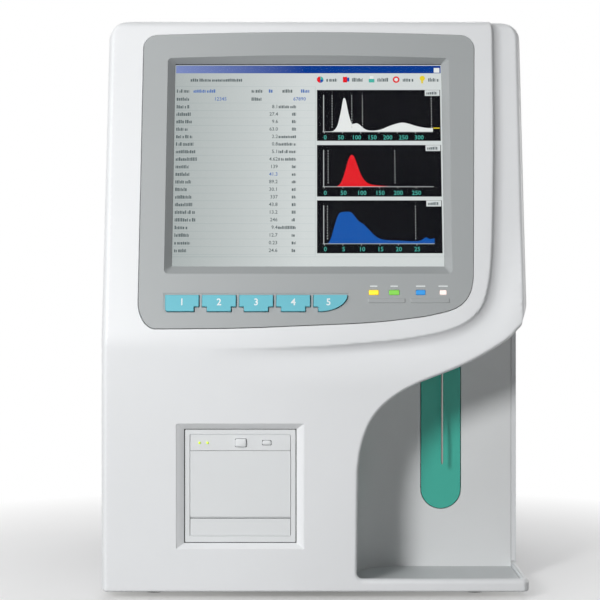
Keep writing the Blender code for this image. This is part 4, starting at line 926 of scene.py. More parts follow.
def rectangle(left, right, low, high, radius=0.3 * MM, arch=0.0, steps=5, spans=12):
    """An outline with round corners, whose upper edge may be arched. Anticlockwise from lower right."""
    line = []
    west, east, south, north = left + radius, right - radius, low + radius, high - radius
    for x, z, start in ((east, south, -90), (east, north, 0), (west, north, 90), (west, south, 180)):
        line += sweep((x, z), radius, radius, start, start + 90, steps)
        if start == 0:
            for i in range(1, spans):
                rise = arch * math.sin(math.pi * i / spans)
                line.append(Vector((east + (west - east) * i / spans, high + rise)))
    return line


print("outline tools ready")

# %% [markdown]
# ## The bezel
# A grey satin moulding lies on the leaning front, proud by half a millimetre, with a sloping recess
# down to the glass. The slope is steep above the glass and wide below it. Under the glass sit the key
# openings in one shallow tray, four light windows and two raised strips. The plate is cut with Booleans
# while its faces are still plain, and only then are its edges rounded, all in one go.

# %% Where the keys and lights are
SCREEN = (-113 * MM, 103 * MM, up_face(261.6 * MM), up_face(425.1 * MM))
SLOPE_SIDE, SLOPE_LOW, SLOPE_HIGH = 6.4 * MM, 8.4 * MM, 3.4 * MM
BEZEL_FRONT = -0.6 * MM
BEZEL_BACK = 6.2 * MM
KEY_COUNT = 5
KEY_PITCH = 145.4082 * MM / KEY_COUNT
KEY_START = bezel_low.x + 19.6 * MM
KEY_WIDE = KEY_PITCH - 2.6 * MM
KEY_TALL = 13.1 * MM
KEY_NOTCH = 3.8 * MM
KEY_HEIGHT = up_face(BEZEL_LOW + 19.6 * MM)
LIGHT_SHARES = ((0.691, 0.0285), (0.751, 0.0296), (0.829, 0.0270), (0.895, 0.0198))
LIGHT_HEIGHT = up_face(BEZEL_LOW + 28.2 * MM)
STRIP_HEIGHT = up_face(BEZEL_LOW + 21.8 * MM)
STRIP_SHARES = ((0.674, 0.783), (0.799, 0.913))
bezel_wide = bezel_high.x - bezel_low.x
key_top, key_foot = KEY_HEIGHT + KEY_TALL / 2, KEY_HEIGHT - KEY_TALL / 2


def key_line(index):
    """A key's outline about its own middle: square notches next to its neighbours, the last one curved."""
    left, right, low, top = -KEY_WIDE / 2, KEY_WIDE / 2, -KEY_TALL / 2, KEY_TALL / 2
    step = low + KEY_NOTCH
    line = [(left, top), (left + 0.3 * MM, low + 1.6 * MM), (left + 1.5 * MM, low)]
    if index > 0:
        line = [(left, top), (left, step), (left + KEY_NOTCH, step), (left + KEY_NOTCH, low)]
    if index < KEY_COUNT - 1:
        line += [(right - KEY_NOTCH, low), (right - KEY_NOTCH, step), (right, step), (right, top)]
    else:
        line = line[:-1] + sweep((left + KEY_NOTCH, top), KEY_WIDE - KEY_NOTCH, KEY_TALL, -90, 0, 18)
    return [Vector(spot) for spot in line]


def key_middle(index):
    return Vector((KEY_START + (index + 0.5) * KEY_PITCH, KEY_HEIGHT))


def light_line(index, grow=0.0):
    share, wide = LIGHT_SHARES[index]
    x = bezel_low.x + share * bezel_wide
    half = wide * bezel_wide / 2 + grow
    tall = 1.85 * MM + grow
    return rectangle(x - half, x + half, LIGHT_HEIGHT - tall, LIGHT_HEIGHT + tall, 0.6 * MM + grow)


print("keys are", round(KEY_WIDE / MM, 1), "mm wide")

# %% The bezel itself
bezel_plan = [(spot.x, up_face(spot.y)) for spot in bezel_edge]
bezel = plate("display_bezel", bezel_plan, BEZEL_FRONT, BEZEL_BACK, FACE_TURN)
left, right, low, high = SCREEN
high += 1.5 * MM
brim = rectangle(left - SLOPE_SIDE, right + SLOPE_SIDE, low - SLOPE_LOW, high + SLOPE_HIGH, 3.4 * MM,
                 arch=2.8 * MM)
sill = rectangle(left, right, low, high, 0.8 * MM)
recess = loft("recess", [(BEZEL_FRONT - 1 * MM, brim), (BEZEL_BACK - 0.8 * MM, sill),
                         (BEZEL_BACK + 1 * MM, sill)], FACE_TURN)
first, last = key_middle(0).x - KEY_WIDE / 2, key_middle(KEY_COUNT - 1).x - KEY_WIDE / 2
tray_line = [(first - 1.6 * MM, key_top + 1.7 * MM), (first - 1.6 * MM, key_foot + 1.5 * MM),
             (first + 0.8 * MM, key_foot - 1.2 * MM)]
tray_line += sweep((last + KEY_NOTCH, key_top), KEY_WIDE - KEY_NOTCH + 1.7 * MM, KEY_TALL + 1.2 * MM,
                   -90, 0, 14)
tray_line += [(last + KEY_WIDE + 1.7 * MM, key_top + 1.7 * MM)]
tray = plate("key_tray", tray_line, BEZEL_FRONT - 1 * MM, BEZEL_FRONT + 0.45 * MM, FACE_TURN)
holes = [[key_middle(i) + spot for spot in shift(key_line(i), 0.4 * MM)] for i in range(KEY_COUNT)]
holes += [light_line(i, 0.3 * MM) for i in range(len(LIGHT_SHARES))]
holes = [plate("hole", line, BEZEL_FRONT - 1 * MM, BEZEL_BACK + 1 * MM, FACE_TURN) for line in holes]
carve(bezel, recess, tray, *holes)
soften(bezel, 0.4 * MM, 3, 28)
hand_over(bezel, "chassis", bezel_grey, ["screen_bezel"])
for number, (start, end) in enumerate(STRIP_SHARES):
    line = rectangle(bezel_low.x + start * bezel_wide, bezel_low.x + end * bezel_wide,
                     STRIP_HEIGHT - 1.9 * MM, STRIP_HEIGHT + 1.9 * MM, 0.9 * MM)
    strip = plate(f"bezel_strip_{number + 1}", line, -1.2 * MM, 0.1 * MM, FACE_TURN)
    soften(strip, 0.5 * MM, 3, 28)
    hand_over(strip, "chassis", bezel_grey)
print("bezel", len(bezel.data.polygons), "faces")

# %% [markdown]
# ## Keys and their numerals
# Each key is a teal cap that stands 2 mm over the bezel, with a flange behind it that keeps it in. Every
# key is its own piece on its own body, so it can be pressed. The numerals are printed in white: text is
# turned into a mesh and laid a hair in front of the cap.

# %% Keys
teal = plastic("key_teal", (0.175, 0.565, 0.67), 0.52, shade=0.97, specular_ior_level=0.25)
print_white = plastic("printed_white", (0.86, 0.90, 0.90), 0.5, grain=0.3)
KEY_FRONT = -2.2 * MM
KEY_BACK = 6.5 * MM


def numerals(text, spot, depth, **settings):
    """Plain numbers as a mesh, at a spot of the upright plan and a depth, laid back with the face."""
    thing = made(bpy.ops.object.text_add)
    thing.data.body = text
    thing.data.align_y = "CENTER"
    for key, value in settings.items():
        setattr(thing.data, key, value)
    bpy.ops.object.convert(target="MESH")
    place = Matrix.Translation((spot[0], depth, spot[1])) @ Matrix.Rotation(math.radians(90), 4, "X")
    thing.data.transform(FACE_TURN @ place)
    return thing


for i in range(KEY_COUNT):
    middle = key_middle(i)
    cap = [middle + p for p in key_line(i)]
    flange = shift([Vector(p) for p in cap[::-1]], 1.0 * MM)[::-1]
    rings = [(KEY_FRONT, cap), (KEY_BACK, cap), (KEY_BACK, flange), (KEY_BACK + 1.2 * MM, flange)]
    key = loft(f"key_cap_{i + 1}", rings, FACE_TURN)
    soften(key, 0.45 * MM, 3, 40)
    hand_over(key, f"key_{i + 1}", teal, [f"key_{i + 1}"])
    spot = (middle.x - (1.5 * MM if i == KEY_COUNT - 1 else 0), middle.y + 0.6 * MM)
    numeral = numerals(str(i + 1), spot, KEY_FRONT - 0.02 * MM, size=7.6 * MM, offset=0.12 * MM,
                       align_x="CENTER", extrude=0.02 * MM, resolution_u=3)
    numeral.name = f"key_numeral_{i + 1}"
    hand_over(numeral, f"key_{i + 1}", print_white)
print("keys ready")

# %% [markdown]
# ## Indicator lights
# Four small light pipes come through the bezel. They are clear coloured plastic that glows a little even
# in daylight. A short white dash is printed over each one.

# %% Lights
LIGHT_COLOURS = {"yellow": (1.0, 0.72, 0.03), "green": (0.18, 0.52, 0.06), "blue": (0.02, 0.24, 0.60),
                 "white": (0.88, 0.76, 0.72)}


def lit(name, colour, power=0.5):
    """Coloured plastic with light behind it: its glow changes a little in soft noise."""
    finish = Finish(name, colour, 0.25, coat_weight=0.3)
    glow = finish.noise(260, 1) * 0.5 + 0.6
    finish.set("Emission Color", finish.mix(glow.capped(), (*[c * 0.6 for c in colour], 1), (*colour, 1)))
    finish.set("Emission Strength", power)
    return finish.material


for i, (colour, tone) in enumerate(LIGHT_COLOURS.items()):
    lens_piece = plate(f"light_{colour}", light_line(i), -1.0 * MM, 7.4 * MM, FACE_TURN)
    soften(lens_piece, 0.35 * MM, 3, 40)
    glow = lit(f"light_{colour}", tone)
    hand_over(lens_piece, "chassis", glow, [f"indicator_{colour}"])
    x = bezel_low.x + LIGHT_SHARES[i][0] * bezel_wide
    half = (2.9 + 0.8 * (i > 1)) * MM
    line = rectangle(x - half, x + half, LIGHT_HEIGHT + 4.6 * MM, LIGHT_HEIGHT + 5.5 * MM)
    dash = plate(f"light_mark_{i + 1}", line, BEZEL_FRONT - 0.04 * MM, -0.5 * MM, FACE_TURN)
    hand_over(dash, "chassis", print_white)
print("lights ready")

# %% [markdown]
# ## The picture on the display
# The display shows a results page: a title bar, a tool bar with icons, a table of twenty rows and three
# black charts with curves. It is drawn as flat shapes in display millimetres, across from the left and
# down from the top, in four thin layers between the glass and the panel. Words are short rows of blocks,
# and only plain numbers are drawn as text. The shapes glow by themselves, as a backlit panel does.
# At the left of the display the page and its rules are darker and the title bar paler: that is a painted
# reflection in the glass.

# %% Drawing on the display
PANEL_FACE = 8.0 * MM
LAYER = 0.06 * MM


def screen_glow(name, colour, power=0.92, other=None):
    """Light from a backlit panel: a fine pixel grid, and a second tone to the right if given, for a painted
    reflection at the left.
    """
    finish = Finish(name, (0.002, 0.002, 0.002), 0.6, specular_ior_level=0.03)
    x, y, z = finish.axes()
    grid = (x * 24000).wave() * (z * 24000).wave() * 0.03 + 0.97
    tone = (*colour, 1)
    # The second tone paints the reflection in the glass: the colour changes over the first 105 mm from the
    # left.
    if other:
        tone = finish.mix(((x - SCREEN[0]) * 9.5).capped(), tone, (*other, 1))
    finish.set("Emission Color", finish.mix(grid, (0, 0, 0, 1), tone))
    finish.set("Emission Strength", power)
    return finish.material


def on_display(across, down, layer):
    """A place on the display, given in millimetres from its upper left corner."""
    flat = Vector((SCREEN[0] + across * MM, PANEL_FACE - layer * LAYER, SCREEN[3] - down * MM))
    return FACE_TURN @ flat


def drawing(name, shapes, layer, finish):
    """One mesh of flat shapes: each is a list of places in display millimetres, clockwise from above."""
    verts, faces = [], []
    for shape in shapes:
        faces.append(tuple(range(len(verts) + len(shape) - 1, len(verts) - 1, -1)))
        verts += [on_display(across, down, layer) for across, down in shape]
    mesh = bpy.data.meshes.new(name)
    mesh.from_pydata(verts, [], faces)
    return hand_over(linked(name, mesh), "chassis", finish)


def patch(left, right, top, low):
    return [(left, top), (right, top), (right, low), (left, low)]


def word(left, middle, length, tall=2.3, seed=1):
    """A row of small blocks that reads as a word from a distance."""
    shapes = []
    at = left
    while at < left + length:
        seed = (seed * 29 + 17) % 97
        wide = 0.75 + 0.55 * (seed % 3) / 2
        height = tall * (0.7 + 0.3 * (seed % 4) / 3)
        foot = middle + tall / 2
        shapes.append(patch(at, min(at + wide, left + length), foot - height, foot))
        at += wide + 0.38 + (0.7 if seed % 11 == 0 else 0)
    return shapes


# The page gets a second tone: painted reflection in the glass, darker at the left.
paper = screen_glow("screen_paper", (0.48, 0.515, 0.51), other=(0.74, 0.77, 0.765))
ink = screen_glow("screen_ink", (0.13, 0.16, 0.165))
ink_blue = screen_glow("screen_blue_ink", (0.10, 0.20, 0.52))
# The title bar gets a second tone: painted reflection in the glass, paler at the left.
title_blue = screen_glow("screen_title", (0.24, 0.30, 0.60), other=(0.001, 0.045, 0.30))
night = screen_glow("screen_black", (0.003, 0.003, 0.005))
snow = screen_glow("screen_white", (0.90, 0.91, 0.90))
red = screen_glow("screen_red", (0.86, 0.012, 0.02))
blue = screen_glow("screen_blue", (0.008, 0.10, 0.44))
sea = screen_glow("screen_sea_green", (0.08, 0.50, 0.42))
sun = screen_glow("screen_yellow", (0.90, 0.70, 0.03))
print("display tones ready")

# %% [markdown]
# The page is laid out as its maker would: bars and boxes first, then rows of words and figures, then the
# charts. Each chart is an area under a smooth curve through a few places, with dashed limits and an axis.

# %% Page, bars and table
ROWS = 20
FIRST_ROW = 34.0
ROW_PITCH = 6.28
CHART_LEFT, CHART_RIGHT = 115.0, 214.7
CHARTS = ((19.8, 62.7, 55.0), (66.2, 109.1, 100.8), (112.2, 155.6, 147.7))


def figures(name, items, size, layer, finish, align="CENTER"):
    """Plain numbers on the display: one piece from a list of text, place across and place down."""
    parts = []
    for text, across, down in items:
        spot = (SCREEN[0] + across * MM, SCREEN[3] - down * MM)
        parts.append(numerals(text, spot, PANEL_FACE - layer * LAYER, size=size * MM, offset=0.05 * MM,
                              align_x=align, resolution_u=2))
    return hand_over(joined(name, parts), "chassis", finish)


drawing("page", [patch(0, 216, -1.5, (SCREEN[3] - SCREEN[2]) / MM)], 1, paper)
drawing("page_title_bar", [patch(0.6, 215.4, -0.9, 5.6)], 2, title_blue)
lines = [patch(0.6, 113.5, down - 0.12, down + 0.12)
         for down in [16.9] + [FIRST_ROW - ROW_PITCH / 2 + ROW_PITCH * i for i in range(ROWS + 1)]]
# The rules get a second tone too: painted reflection in the glass, darker at the left.
rule = screen_glow("screen_rule", (0.34, 0.40, 0.41), other=(0.60, 0.66, 0.66))
drawing("page_rules", lines + [patch(113.4, 113.8, 16.9, 158), patch(0, 216, 158.3, 158.7)], 2, rule)
words = word(12.5, 11.4, 42, 2.6, 5)
for i in range(ROWS):
    down = FIRST_ROW + ROW_PITCH * i
    words += word(1.5, down, (10.5, 14, 12.5, 17, 13, 11.5, 16, 9.5)[(i * 5) % 8], 2.9, i + 3)
    wide = 14 if i in (0, 4, 5, 6, 7, 16) else 3.2
    words += word(98 - wide, down, wide, 2.6, i + 40)
HEAD_WORDS = ((1.5, 20.7, 10, 8), (1.5, 27.5, 10, 12), (62, 20.7, 9, 22), (62, 27.5, 9, 31),
              (87, 20.7, 8, 51))
BLUE_WORDS = ((15, 20.7, 18, 61), (76, 20.7, 3, 14), (102, 20.7, 7, 77))
words += [shape for left, down, wide, seed in HEAD_WORDS for shape in word(left, down, wide, 2.8, seed)]
blue_words = [shape for left, down, wide, seed in BLUE_WORDS for shape in word(left, down, wide, 2.8, seed)]
drawing("page_words", words, 2, ink)
drawing("page_blue_words", blue_words, 2, ink_blue)
VALUES = "8.1 27.4 9.6 63.0 2.2 0.8 5.1 4.62 139 41.3 89.2 30.1 337 43.8 13.2 246 9.4 12.7 0.23 24.6"
rows = [(value, 83.6, FIRST_ROW + ROW_PITCH * i) for i, value in enumerate(VALUES.split())]
figures("page_values", rows[:9] + rows[10:], 4.1, 2, ink, "RIGHT")
figures("page_blue_values", [rows[9], ("12345", 42, 27.5), ("67890", 106, 27.5)], 4.1, 2, ink_blue, "RIGHT")
print("page has", len(words), "small shapes")

# %% Tool bar
ICONS = (117.6, 138.4, 159.0, 179.6, 200.2)


def disc(across, down, radius, start=0, end=360, steps=12):
    """A fan of points about a middle, clockwise as seen from the front."""
    rim = sweep((across, down), radius, radius, start, end, steps)
    return rim[:-1] if end - start >= 360 else [(across, down)] + rim


labels = [shape for at in ICONS for shape in word(at + 5.0, 11.1, 8.6, 3.2, round(at))]
pie = ICONS[0]
reds = [disc(pie, 11, 2.7, 90, 270), patch(136.0, 139.4, 8.6, 13.4), disc(179.2, 11, 2.8)]
whites = [disc(179.2, 11, 1.5), patch(157.8, 160.8, 8.0, 10.4), patch(209.8, 214.4, 1.1, 5.1)]
drawing("icon_labels", labels, 2, ink)
drawing("icon_reds", reds, 2, red)
drawing("icon_blues", [disc(pie, 11, 2.7, 0, 90, 5), patch(139.4, 141.2, 9.2, 12.6)], 2, blue)
drawing("icon_greens", [disc(pie, 11, 2.7, 270, 360, 5), patch(157.0, 161.6, 10.4, 13.4)], 2, sea)
drawing("icon_yellows", [disc(200.4, 9.9, 2.2), patch(199.5, 201.0, 11.6, 14.2)], 2, sun)
drawing("icon_whites", whites, 3, snow)
print("tool bar drawn")

# %% Charts
PEAKS = ((120.3, 54.9), (126.6, 54.7), (128.8, 53.8), (131.6, 49.5), (134.2, 38.5), (136.0, 28.3),
         (137.0, 26.6), (138.2, 28.3), (140.4, 39.5), (142.4, 46.8), (143.8, 48.6), (146.6, 47.9),
         (149.0, 48.9), (152.4, 52.0), (156.0, 53.8), (161.5, 54.1), (167.0, 53.0), (172.5, 50.6),
         (178.0, 48.6), (183.5, 47.4), (188.5, 48.2), (193.8, 49.9), (199.5, 51.3), (205.0, 52.0),
         (208.4, 51.9))
HILL = ((130.8, 100.6), (132.6, 99.6), (134.8, 96.2), (137.2, 89.2), (139.6, 80.2), (141.6, 75.4),
        (143.2, 74.4), (145.0, 76.4), (147.6, 83.6), (150.4, 91.2), (153.6, 96.2), (157.6, 98.8),
        (163.0, 99.8), (172.0, 100.6))
SHOULDER = ((124.0, 147.4), (126.2, 143.0), (128.6, 134.4), (131.0, 126.4), (133.2, 122.6), (136.0, 121.8),
            (141.4, 121.8), (144.6, 124.6), (148.0, 129.2), (152.0, 131.8), (156.4, 136.4), (160.6, 140.8),
            (164.8, 143.6), (170.5, 144.9), (182.0, 145.4), (192.0, 145.8), (197.4, 145.2), (201.6, 142.6),
            (204.6, 144.0), (208.4, 143.4))
LIMITS = ((127.2, 143.1, 151.7, 207.4), (123.9, 177.5), (123.3, 193.5))
SCALES = (("0 50 100 150 200 250 300", 12.6, 60.0), ("0 50 100 150 200 250", 14.6, 106.2),
          ("0 5 10 15 20 25", 14.6, 152.4))


def area(points, base):
    """The area between a smooth curve and its base line, as narrow upright strips."""
    curve_points = flowing([Vector(p) * MM for p in points], 1.0 * MM)
    spots = [(p.x / MM, min(p.y / MM, base)) for p in curve_points]
    return [[a, b, (b[0], base), (a[0], base)] for a, b in zip(spots, spots[1:])]


def dashes(across, top, low):
    return [patch(across - 0.28, across + 0.28, top + 2.2 * i, top + 2.2 * i + 1.1)
            for i in range(int((low - top) / 2.2))]


drawing("chart_ground", [patch(CHART_LEFT, CHART_RIGHT, top, low) for top, low, base in CHARTS], 2, night)
drawing("chart_white_area", area(PEAKS, 55.0), 3, snow)
drawing("chart_red_area", area(HILL, 100.8), 3, red)
drawing("chart_blue_area", area(SHOULDER, 147.7), 3, blue)
marks = []
for (top, low, base), limits in zip(CHARTS, LIMITS):
    marks += [patch(120.0, 120.7, top + 4.2, base + 0.4), patch(119.6, 208.4, base - 0.1, base + 0.4)]
    marks += [patch(120.6 + 14.7 * i, 121.1 + 14.7 * i, base, base + 1.4) for i in range(6)]
    for across in limits:
        marks += dashes(across, top + 4.4, base - 0.6)
drawing("chart_marks", marks, 3.5, screen_glow("screen_grey", (0.52, 0.54, 0.54)))
drawing("chart_tags", [patch(202.3, 214.2, top + 0.2, top + 5.0) for top, low, base in CHARTS], 3, paper)
tag_words = [shape for top, low, base in CHARTS for shape in word(203.6, top + 2.6, 8.6, 2.6, 9)]
drawing("chart_tag_words", tag_words, 4, ink)
numbers = []
for labels, pitch, down in SCALES:
    numbers += [(label, 121.6 + pitch * i, down) for i, label in enumerate(labels.split())]
figures("chart_numbers", numbers, 5.0, 3, sea)
drawing("chart_end_mark", [patch(208.6, 214.0, 51.6, 52.4)], 3.5, sun)
print("charts drawn")

# %% Glass over the display
glass = Finish("display_glass", (0.96, 0.98, 0.98), 0.04, transmission_weight=1.0)
glass.shader.inputs["IOR"].default_value = 1.07
smears = glass.noise(14, 4)
glass.set("Roughness", smears * 0.05 + 0.015)
dark_panel = plastic("panel_black", (0.012, 0.012, 0.014), 0.5)
frame["nodes"]["display_window"].data.materials[0] = glass.material
frame["nodes"]["display_panel"].data.materials[0] = dark_panel
print("glass ready")

# %% [markdown]
# ## The printer
# The small printer sits in a square recess with sloping sides, like a picture in a frame. A dark gap runs
# round its white frame. The paper door fills the middle and tips forward on its lower edge. Above it are
# two lights, a latch and a slim feed key. The recess is a ring that is lofted through five outlines.

# %% Recess and frame
def printer_square(inset, radius=0.4 * MM):
    """An outline inside the printer's opening, with narrower slopes above and below than at the sides."""
    rise = inset * 0.72
    return rectangle(frame_low.x + inset, frame_high.x - inset, frame_low.z + rise, frame_high.z - rise,
                     radius)


def cutter(low, high, x_gap, z_gap, deep, radius=0.3 * MM):
    """A tool that opens a plate of the printer round a box, with a gap at each side."""
    line = rectangle(low.x - x_gap, high.x + x_gap, low.z - z_gap, high.z + z_gap, radius)
    return plate("opening", line, frame_low.y - 1 * MM, frame_low.y + deep)


FRAME_INSET = 6.5 * MM
GROOVE_X = (door_low.x - 0.35 * MM, door_high.x + 0.35 * MM)
GROOVE_Z = (48.9 * MM, 128.9 * MM)
GROOVE_WIDE, GROOVE_DEEP = 0.55 * MM, 0.9 * MM
SURROUND = ((0.35, 0.05), (0.6, 0.5), (3.6, 5.4), (4.1, 5.8), (4.3, 0.05))
surround = loft("printer_surround", [(FRONT + depth * MM, printer_square(inset * MM))
                                     for depth, inset in SURROUND], hollow=True)
smooth(surround, 20)
hand_over(surround, "chassis", white)
caps = [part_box("printer_latch"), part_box("printer_feed_key")]
face = frame_low.y
outer = rectangle(*GROOVE_X, *GROOVE_Z, 0.5 * MM)
inner = rectangle(GROOVE_X[0] + GROOVE_WIDE, GROOVE_X[1] - GROOVE_WIDE, GROOVE_Z[0] + GROOVE_WIDE,
                  GROOVE_Z[1] - GROOVE_WIDE, 0.5 * MM)
groove = loft("groove", [(face - 1 * MM, outer), (face + GROOVE_DEEP, outer), (face + GROOVE_DEEP, inner),
                         (face - 1 * MM, inner)], hollow=True)
openings = [cutter(door_low, door_high, 0.3 * MM, 0.3 * MM, 5 * MM)]
openings += [cutter(low, high, 0.25 * MM, 0.25 * MM, 5 * MM, 0.9 * MM) for low, high in caps]
face_plate = plate("printer_face", printer_square(FRAME_INSET, 0.8 * MM), face, face + 2.4 * MM)
carve(face_plate, groove, *openings)
soften(face_plate, 0.22 * MM, 2, 30)
hand_over(face_plate, "chassis", door_white, ["printer_frame"])
down = Vector((0, 0, -0.5 * MM))
openings = [cutter(door_low + down, door_high + down, -1 * MM, 0, 6 * MM)]
openings += [cutter(low, high, 0.6 * MM, 0.6 * MM, 6 * MM) for low, high in caps]
back = plate("printer_back", printer_square(0.3 * MM), face + 2.6 * MM, frame_high.y - 0.1 * MM)
carve(back, *openings)
hand_over(back, "chassis", charcoal)
print("printer frame", len(face_plate.data.polygons), "faces")

# %% Door, latch, key and lights
door = copy_of("printer_door", "paper_door")
soften(door, 0.3 * MM, 2, 35)
hand_over(door, "printer_door", door_white, ["printer_door"])


def small_cap(name, node, crown, radius, finish):
    """A little button: its outline drawn in towards the front in small steps, so that it has a crown."""
    low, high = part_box(node)
    rings = []
    for drop, inset in ((0, 1.2), (0.12, 0.7), (0.35, 0.3), (0.7, 0.06), (1.0, 0)):
        inset *= crown
        corner = max(radius - inset, 0.15 * MM)
        line = rectangle(low.x + inset, high.x - inset, low.z + inset, high.z - inset, corner)
        rings.append((low.y + drop * crown, line))
    rings.append((high.y, rectangle(low.x, high.x, low.z, high.z, radius)))
    cap = loft(name, rings)
    smooth(cap, 50)
    return hand_over(cap, node if node in frame["bodies"] else "chassis", finish, [node])


small_cap("paper_latch", "printer_latch", 0.9 * MM, 1.2 * MM, door_white)
small_cap("feed_key", "printer_feed_key", 0.7 * MM, 1.4 * MM, door_white)
lime = lit("printer_light", (0.45, 0.62, 0.02), 0.7)
for hand in ("left", "right"):
    small_cap(f"lamp_{hand}", f"printer_light_{hand}", 0.6 * MM, 0.95 * MM, lime)
print("printer keys ready")

# %% [markdown]
# ## The sample bay
# The bay is lined with one light grey moulding with a round back corner. A long teal bar in its back wall
# starts the sample when it is pressed. The steel probe hangs in front of it. These shapes come from the
# CAD model: a copy of a node has its loose triangles merged, then its edges are rounded and it is shaded
# smoothly. The round corner is shaded by the circle that it follows, so that it shows no facets.

# %% Lining, tray, bar and probe
def dress(node, name, body, finish, edge=0.0, crease=25):
    """A finer copy of a CAD node: merged, with round edges and smooth shading, in its own finish."""
    thing = copy_of(node, name)
    if edge:
        soften(thing, edge, 2, 35)
    else:
        flatten(smooth(thing, crease))
    return hand_over(thing, body, finish, [node])


def round_corner(thing, middle, radius):
    """Shade the faces of an upright inner corner by the circle that they follow."""
    mesh = thing.data
    ways = [corner.vector.copy() for corner in mesh.corner_normals]
    for face in mesh.polygons:
        for loop in face.loop_indices:
            inward = (middle - mesh.vertices[mesh.loops[loop].vertex_index].co).xy.to_3d()
            if abs(inward.length - radius) < 0.5 * MM and inward.normalized().dot(face.normal) > 0.95:
                ways[loop] = inward.normalized()
    mesh.normals_split_custom_set(ways)


CORNER_MIDDLE = Vector((73 * MM, -148 * MM, 0))
CORNER_RADIUS = 40 * MM
lining = dress("bay_liner", "bay_lining", "chassis", inner_white)
round_corner(lining, CORNER_MIDDLE, CORNER_RADIUS)
dress("bay_tray", "bay_floor", "chassis", tray_grey, 0.5 * MM)
bar_teal = plastic("bar_teal", (0.058, 0.50, 0.39), 0.36, shade=0.95)
dress("start_bar", "sample_bar", "start_bar", bar_teal, 0.5 * MM)


def metal(name, colour, roughness, brushed=(1, 1, 1), cells=900):
    """Bare metal: fine lines or grain in the gloss, and slow cloudy changes of tone."""
    finish = Finish(name, colour, roughness, metallic=1.0)
    lines = finish.noise(cells, 3, brushed)
    cloud = finish.noise(12, 2)
    finish.set("Roughness", lines * 0.16 + cloud * 0.08 + (roughness - 0.12))
    finish.tint(cloud * 0.5, (*[part * 0.86 for part in colour], 1))
    finish.bump(lines, 0.004 * MM, 0.5)
    return finish.material


chrome = metal("probe_chrome", (0.33, 0.315, 0.30), 0.30, (1, 1, 0.05))
steel = metal("sheet_steel", (0.62, 0.63, 0.64), 0.38, (0.08, 1, 1))
dress("sample_probe", "probe_tube", "probe_carriage", chrome, crease=50)
print("bay ready")

# %% [markdown]
# ## Finishes for the inside
# Behind the shell are the mechanism, pumps, baths and boards. They show through the bay's slot, through
# the vents and when the printer is open. Each keeps its CAD shape and gets the finish of the real thing:
# zinc-plated steel, black and green boards with copper tracks, rubber, paper and clear plastic.

# %% Inner finishes
rubber = plastic("rubber", (0.022, 0.022, 0.023), 0.72, grain=2.5)
zinc = metal("zinc_plate", (0.66, 0.66, 0.62), 0.42, (1, 1, 1), 140)
paper_finish = Finish("thermal_paper", (0.86, 0.86, 0.84), 0.6)
fibres = paper_finish.noise(900, 4)
paper_finish.bump(fibres, 0.02 * MM, 0.5)
paper_finish.tint(fibres * 0.4, (0.78, 0.78, 0.75, 1))

board = Finish("circuit_board", (0.02, 0.16, 0.07), 0.32, coat_weight=0.4)
x, y, z = board.axes()
tracks = ((x * 900).wave().between(0.86, 2) + (z * 760).wave().between(0.9, 2)).capped()
islands = board.noise(55, 1).between(0.5, 2)
board.tint(tracks * islands, (0.06, 0.30, 0.12, 1))
board.bump(tracks * islands, 0.04 * MM, 0.6)

clear = Finish("clear_plastic", (0.90, 0.93, 0.93), 0.12, transmission_weight=0.85)
haze = clear.noise(60, 3)
clear.set("Roughness", haze * 0.12 + 0.06)
clear.bump(haze, 0.02 * MM, 0.3)

belt = Finish("belt_rubber", (0.02, 0.02, 0.021), 0.7)
x, y, z = belt.axes()
teeth = (z * 3100).wave()
belt.bump(teeth, 0.2 * MM, 0.6)
belt.set("Roughness", belt.noise(500, 2) * 0.2 + 0.6)
INNER = {
    "zinc": (zinc, "mechanism_plate base_plate rinse_block"),
    "chrome": (chrome, "guide_rod_left guide_rod_right printer_door_pin"),
    "steel": (steel, "drive_pulley idler_pulley probe_motor power_supply"),
    "board": (board.material, "key_board main_board"),
    "black": (black, "probe_carriage printer_body start_switch fan_frame fan_rotor power_switch power_inlet"
              " data_port syringe_pump vacuum_pump"),
    "rubber": (rubber, "platen_roller foot_front_left foot_front_right foot_rear_left foot_rear_right"),
    "belt": (belt.material, "drive_belt"),
    "paper": (paper_finish.material, "paper_roll"),
    "clear": (clear.material, "white_cell_bath red_cell_bath"),
    "white": (white, "diluent_port lyse_port rinse_port waste_port")}
for finish, names in INNER.values():
    for name in names.split():
        frame["nodes"][name].data.materials[0] = finish
print("inner finishes on", sum(len(names.split()) for _, names in INNER.values()), "nodes")

# %% [markdown]
# ## The cover
# The rear cover is one moulding with rounded corners and nine cooling slots in each side. It is a finer
# copy of its CAD node. The seam against the front shell stays open by a third of a millimetre, and reads
# as a thin dark line. The rear panel is a painted sheet with a coarser grain.

# %% Cover and rear panel
dress("top_cover", "case_cover", "chassis", white, 0.5 * MM)
panel_paint = plastic("panel_paint", (0.52, 0.54, 0.55), 0.46, grain=4.0)
dress("rear_panel", "back_panel", "chassis", panel_paint, 0.3 * MM)
print("cover ready")

# %% [markdown]
# ## Details of the back
# A wire guard lies over the fan's hole: rings on crossed wires that end in an eye at each corner. One
# crosshead screw is made, then set into the guard's eyes and along the panel's edges. A coloured washer
# marks each fluid port, and a bare metal plate takes the place of a rating plate.

# %% Fan guard
fan_low, fan_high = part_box("fan_frame")
fan_x, fan_z = (fan_low.x + fan_high.x) / 2, (fan_low.z + fan_high.z) / 2
EYE_AWAY = 25 * MM
EYE_RADIUS = 3.1 * MM
WIRE_RADIUS = 0.75 * MM


def settled(thing):
    """Put an object's place, turn and size into its mesh."""
    only(thing)
    bpy.ops.object.transform_apply(location=True, rotation=True, scale=True)
    return thing


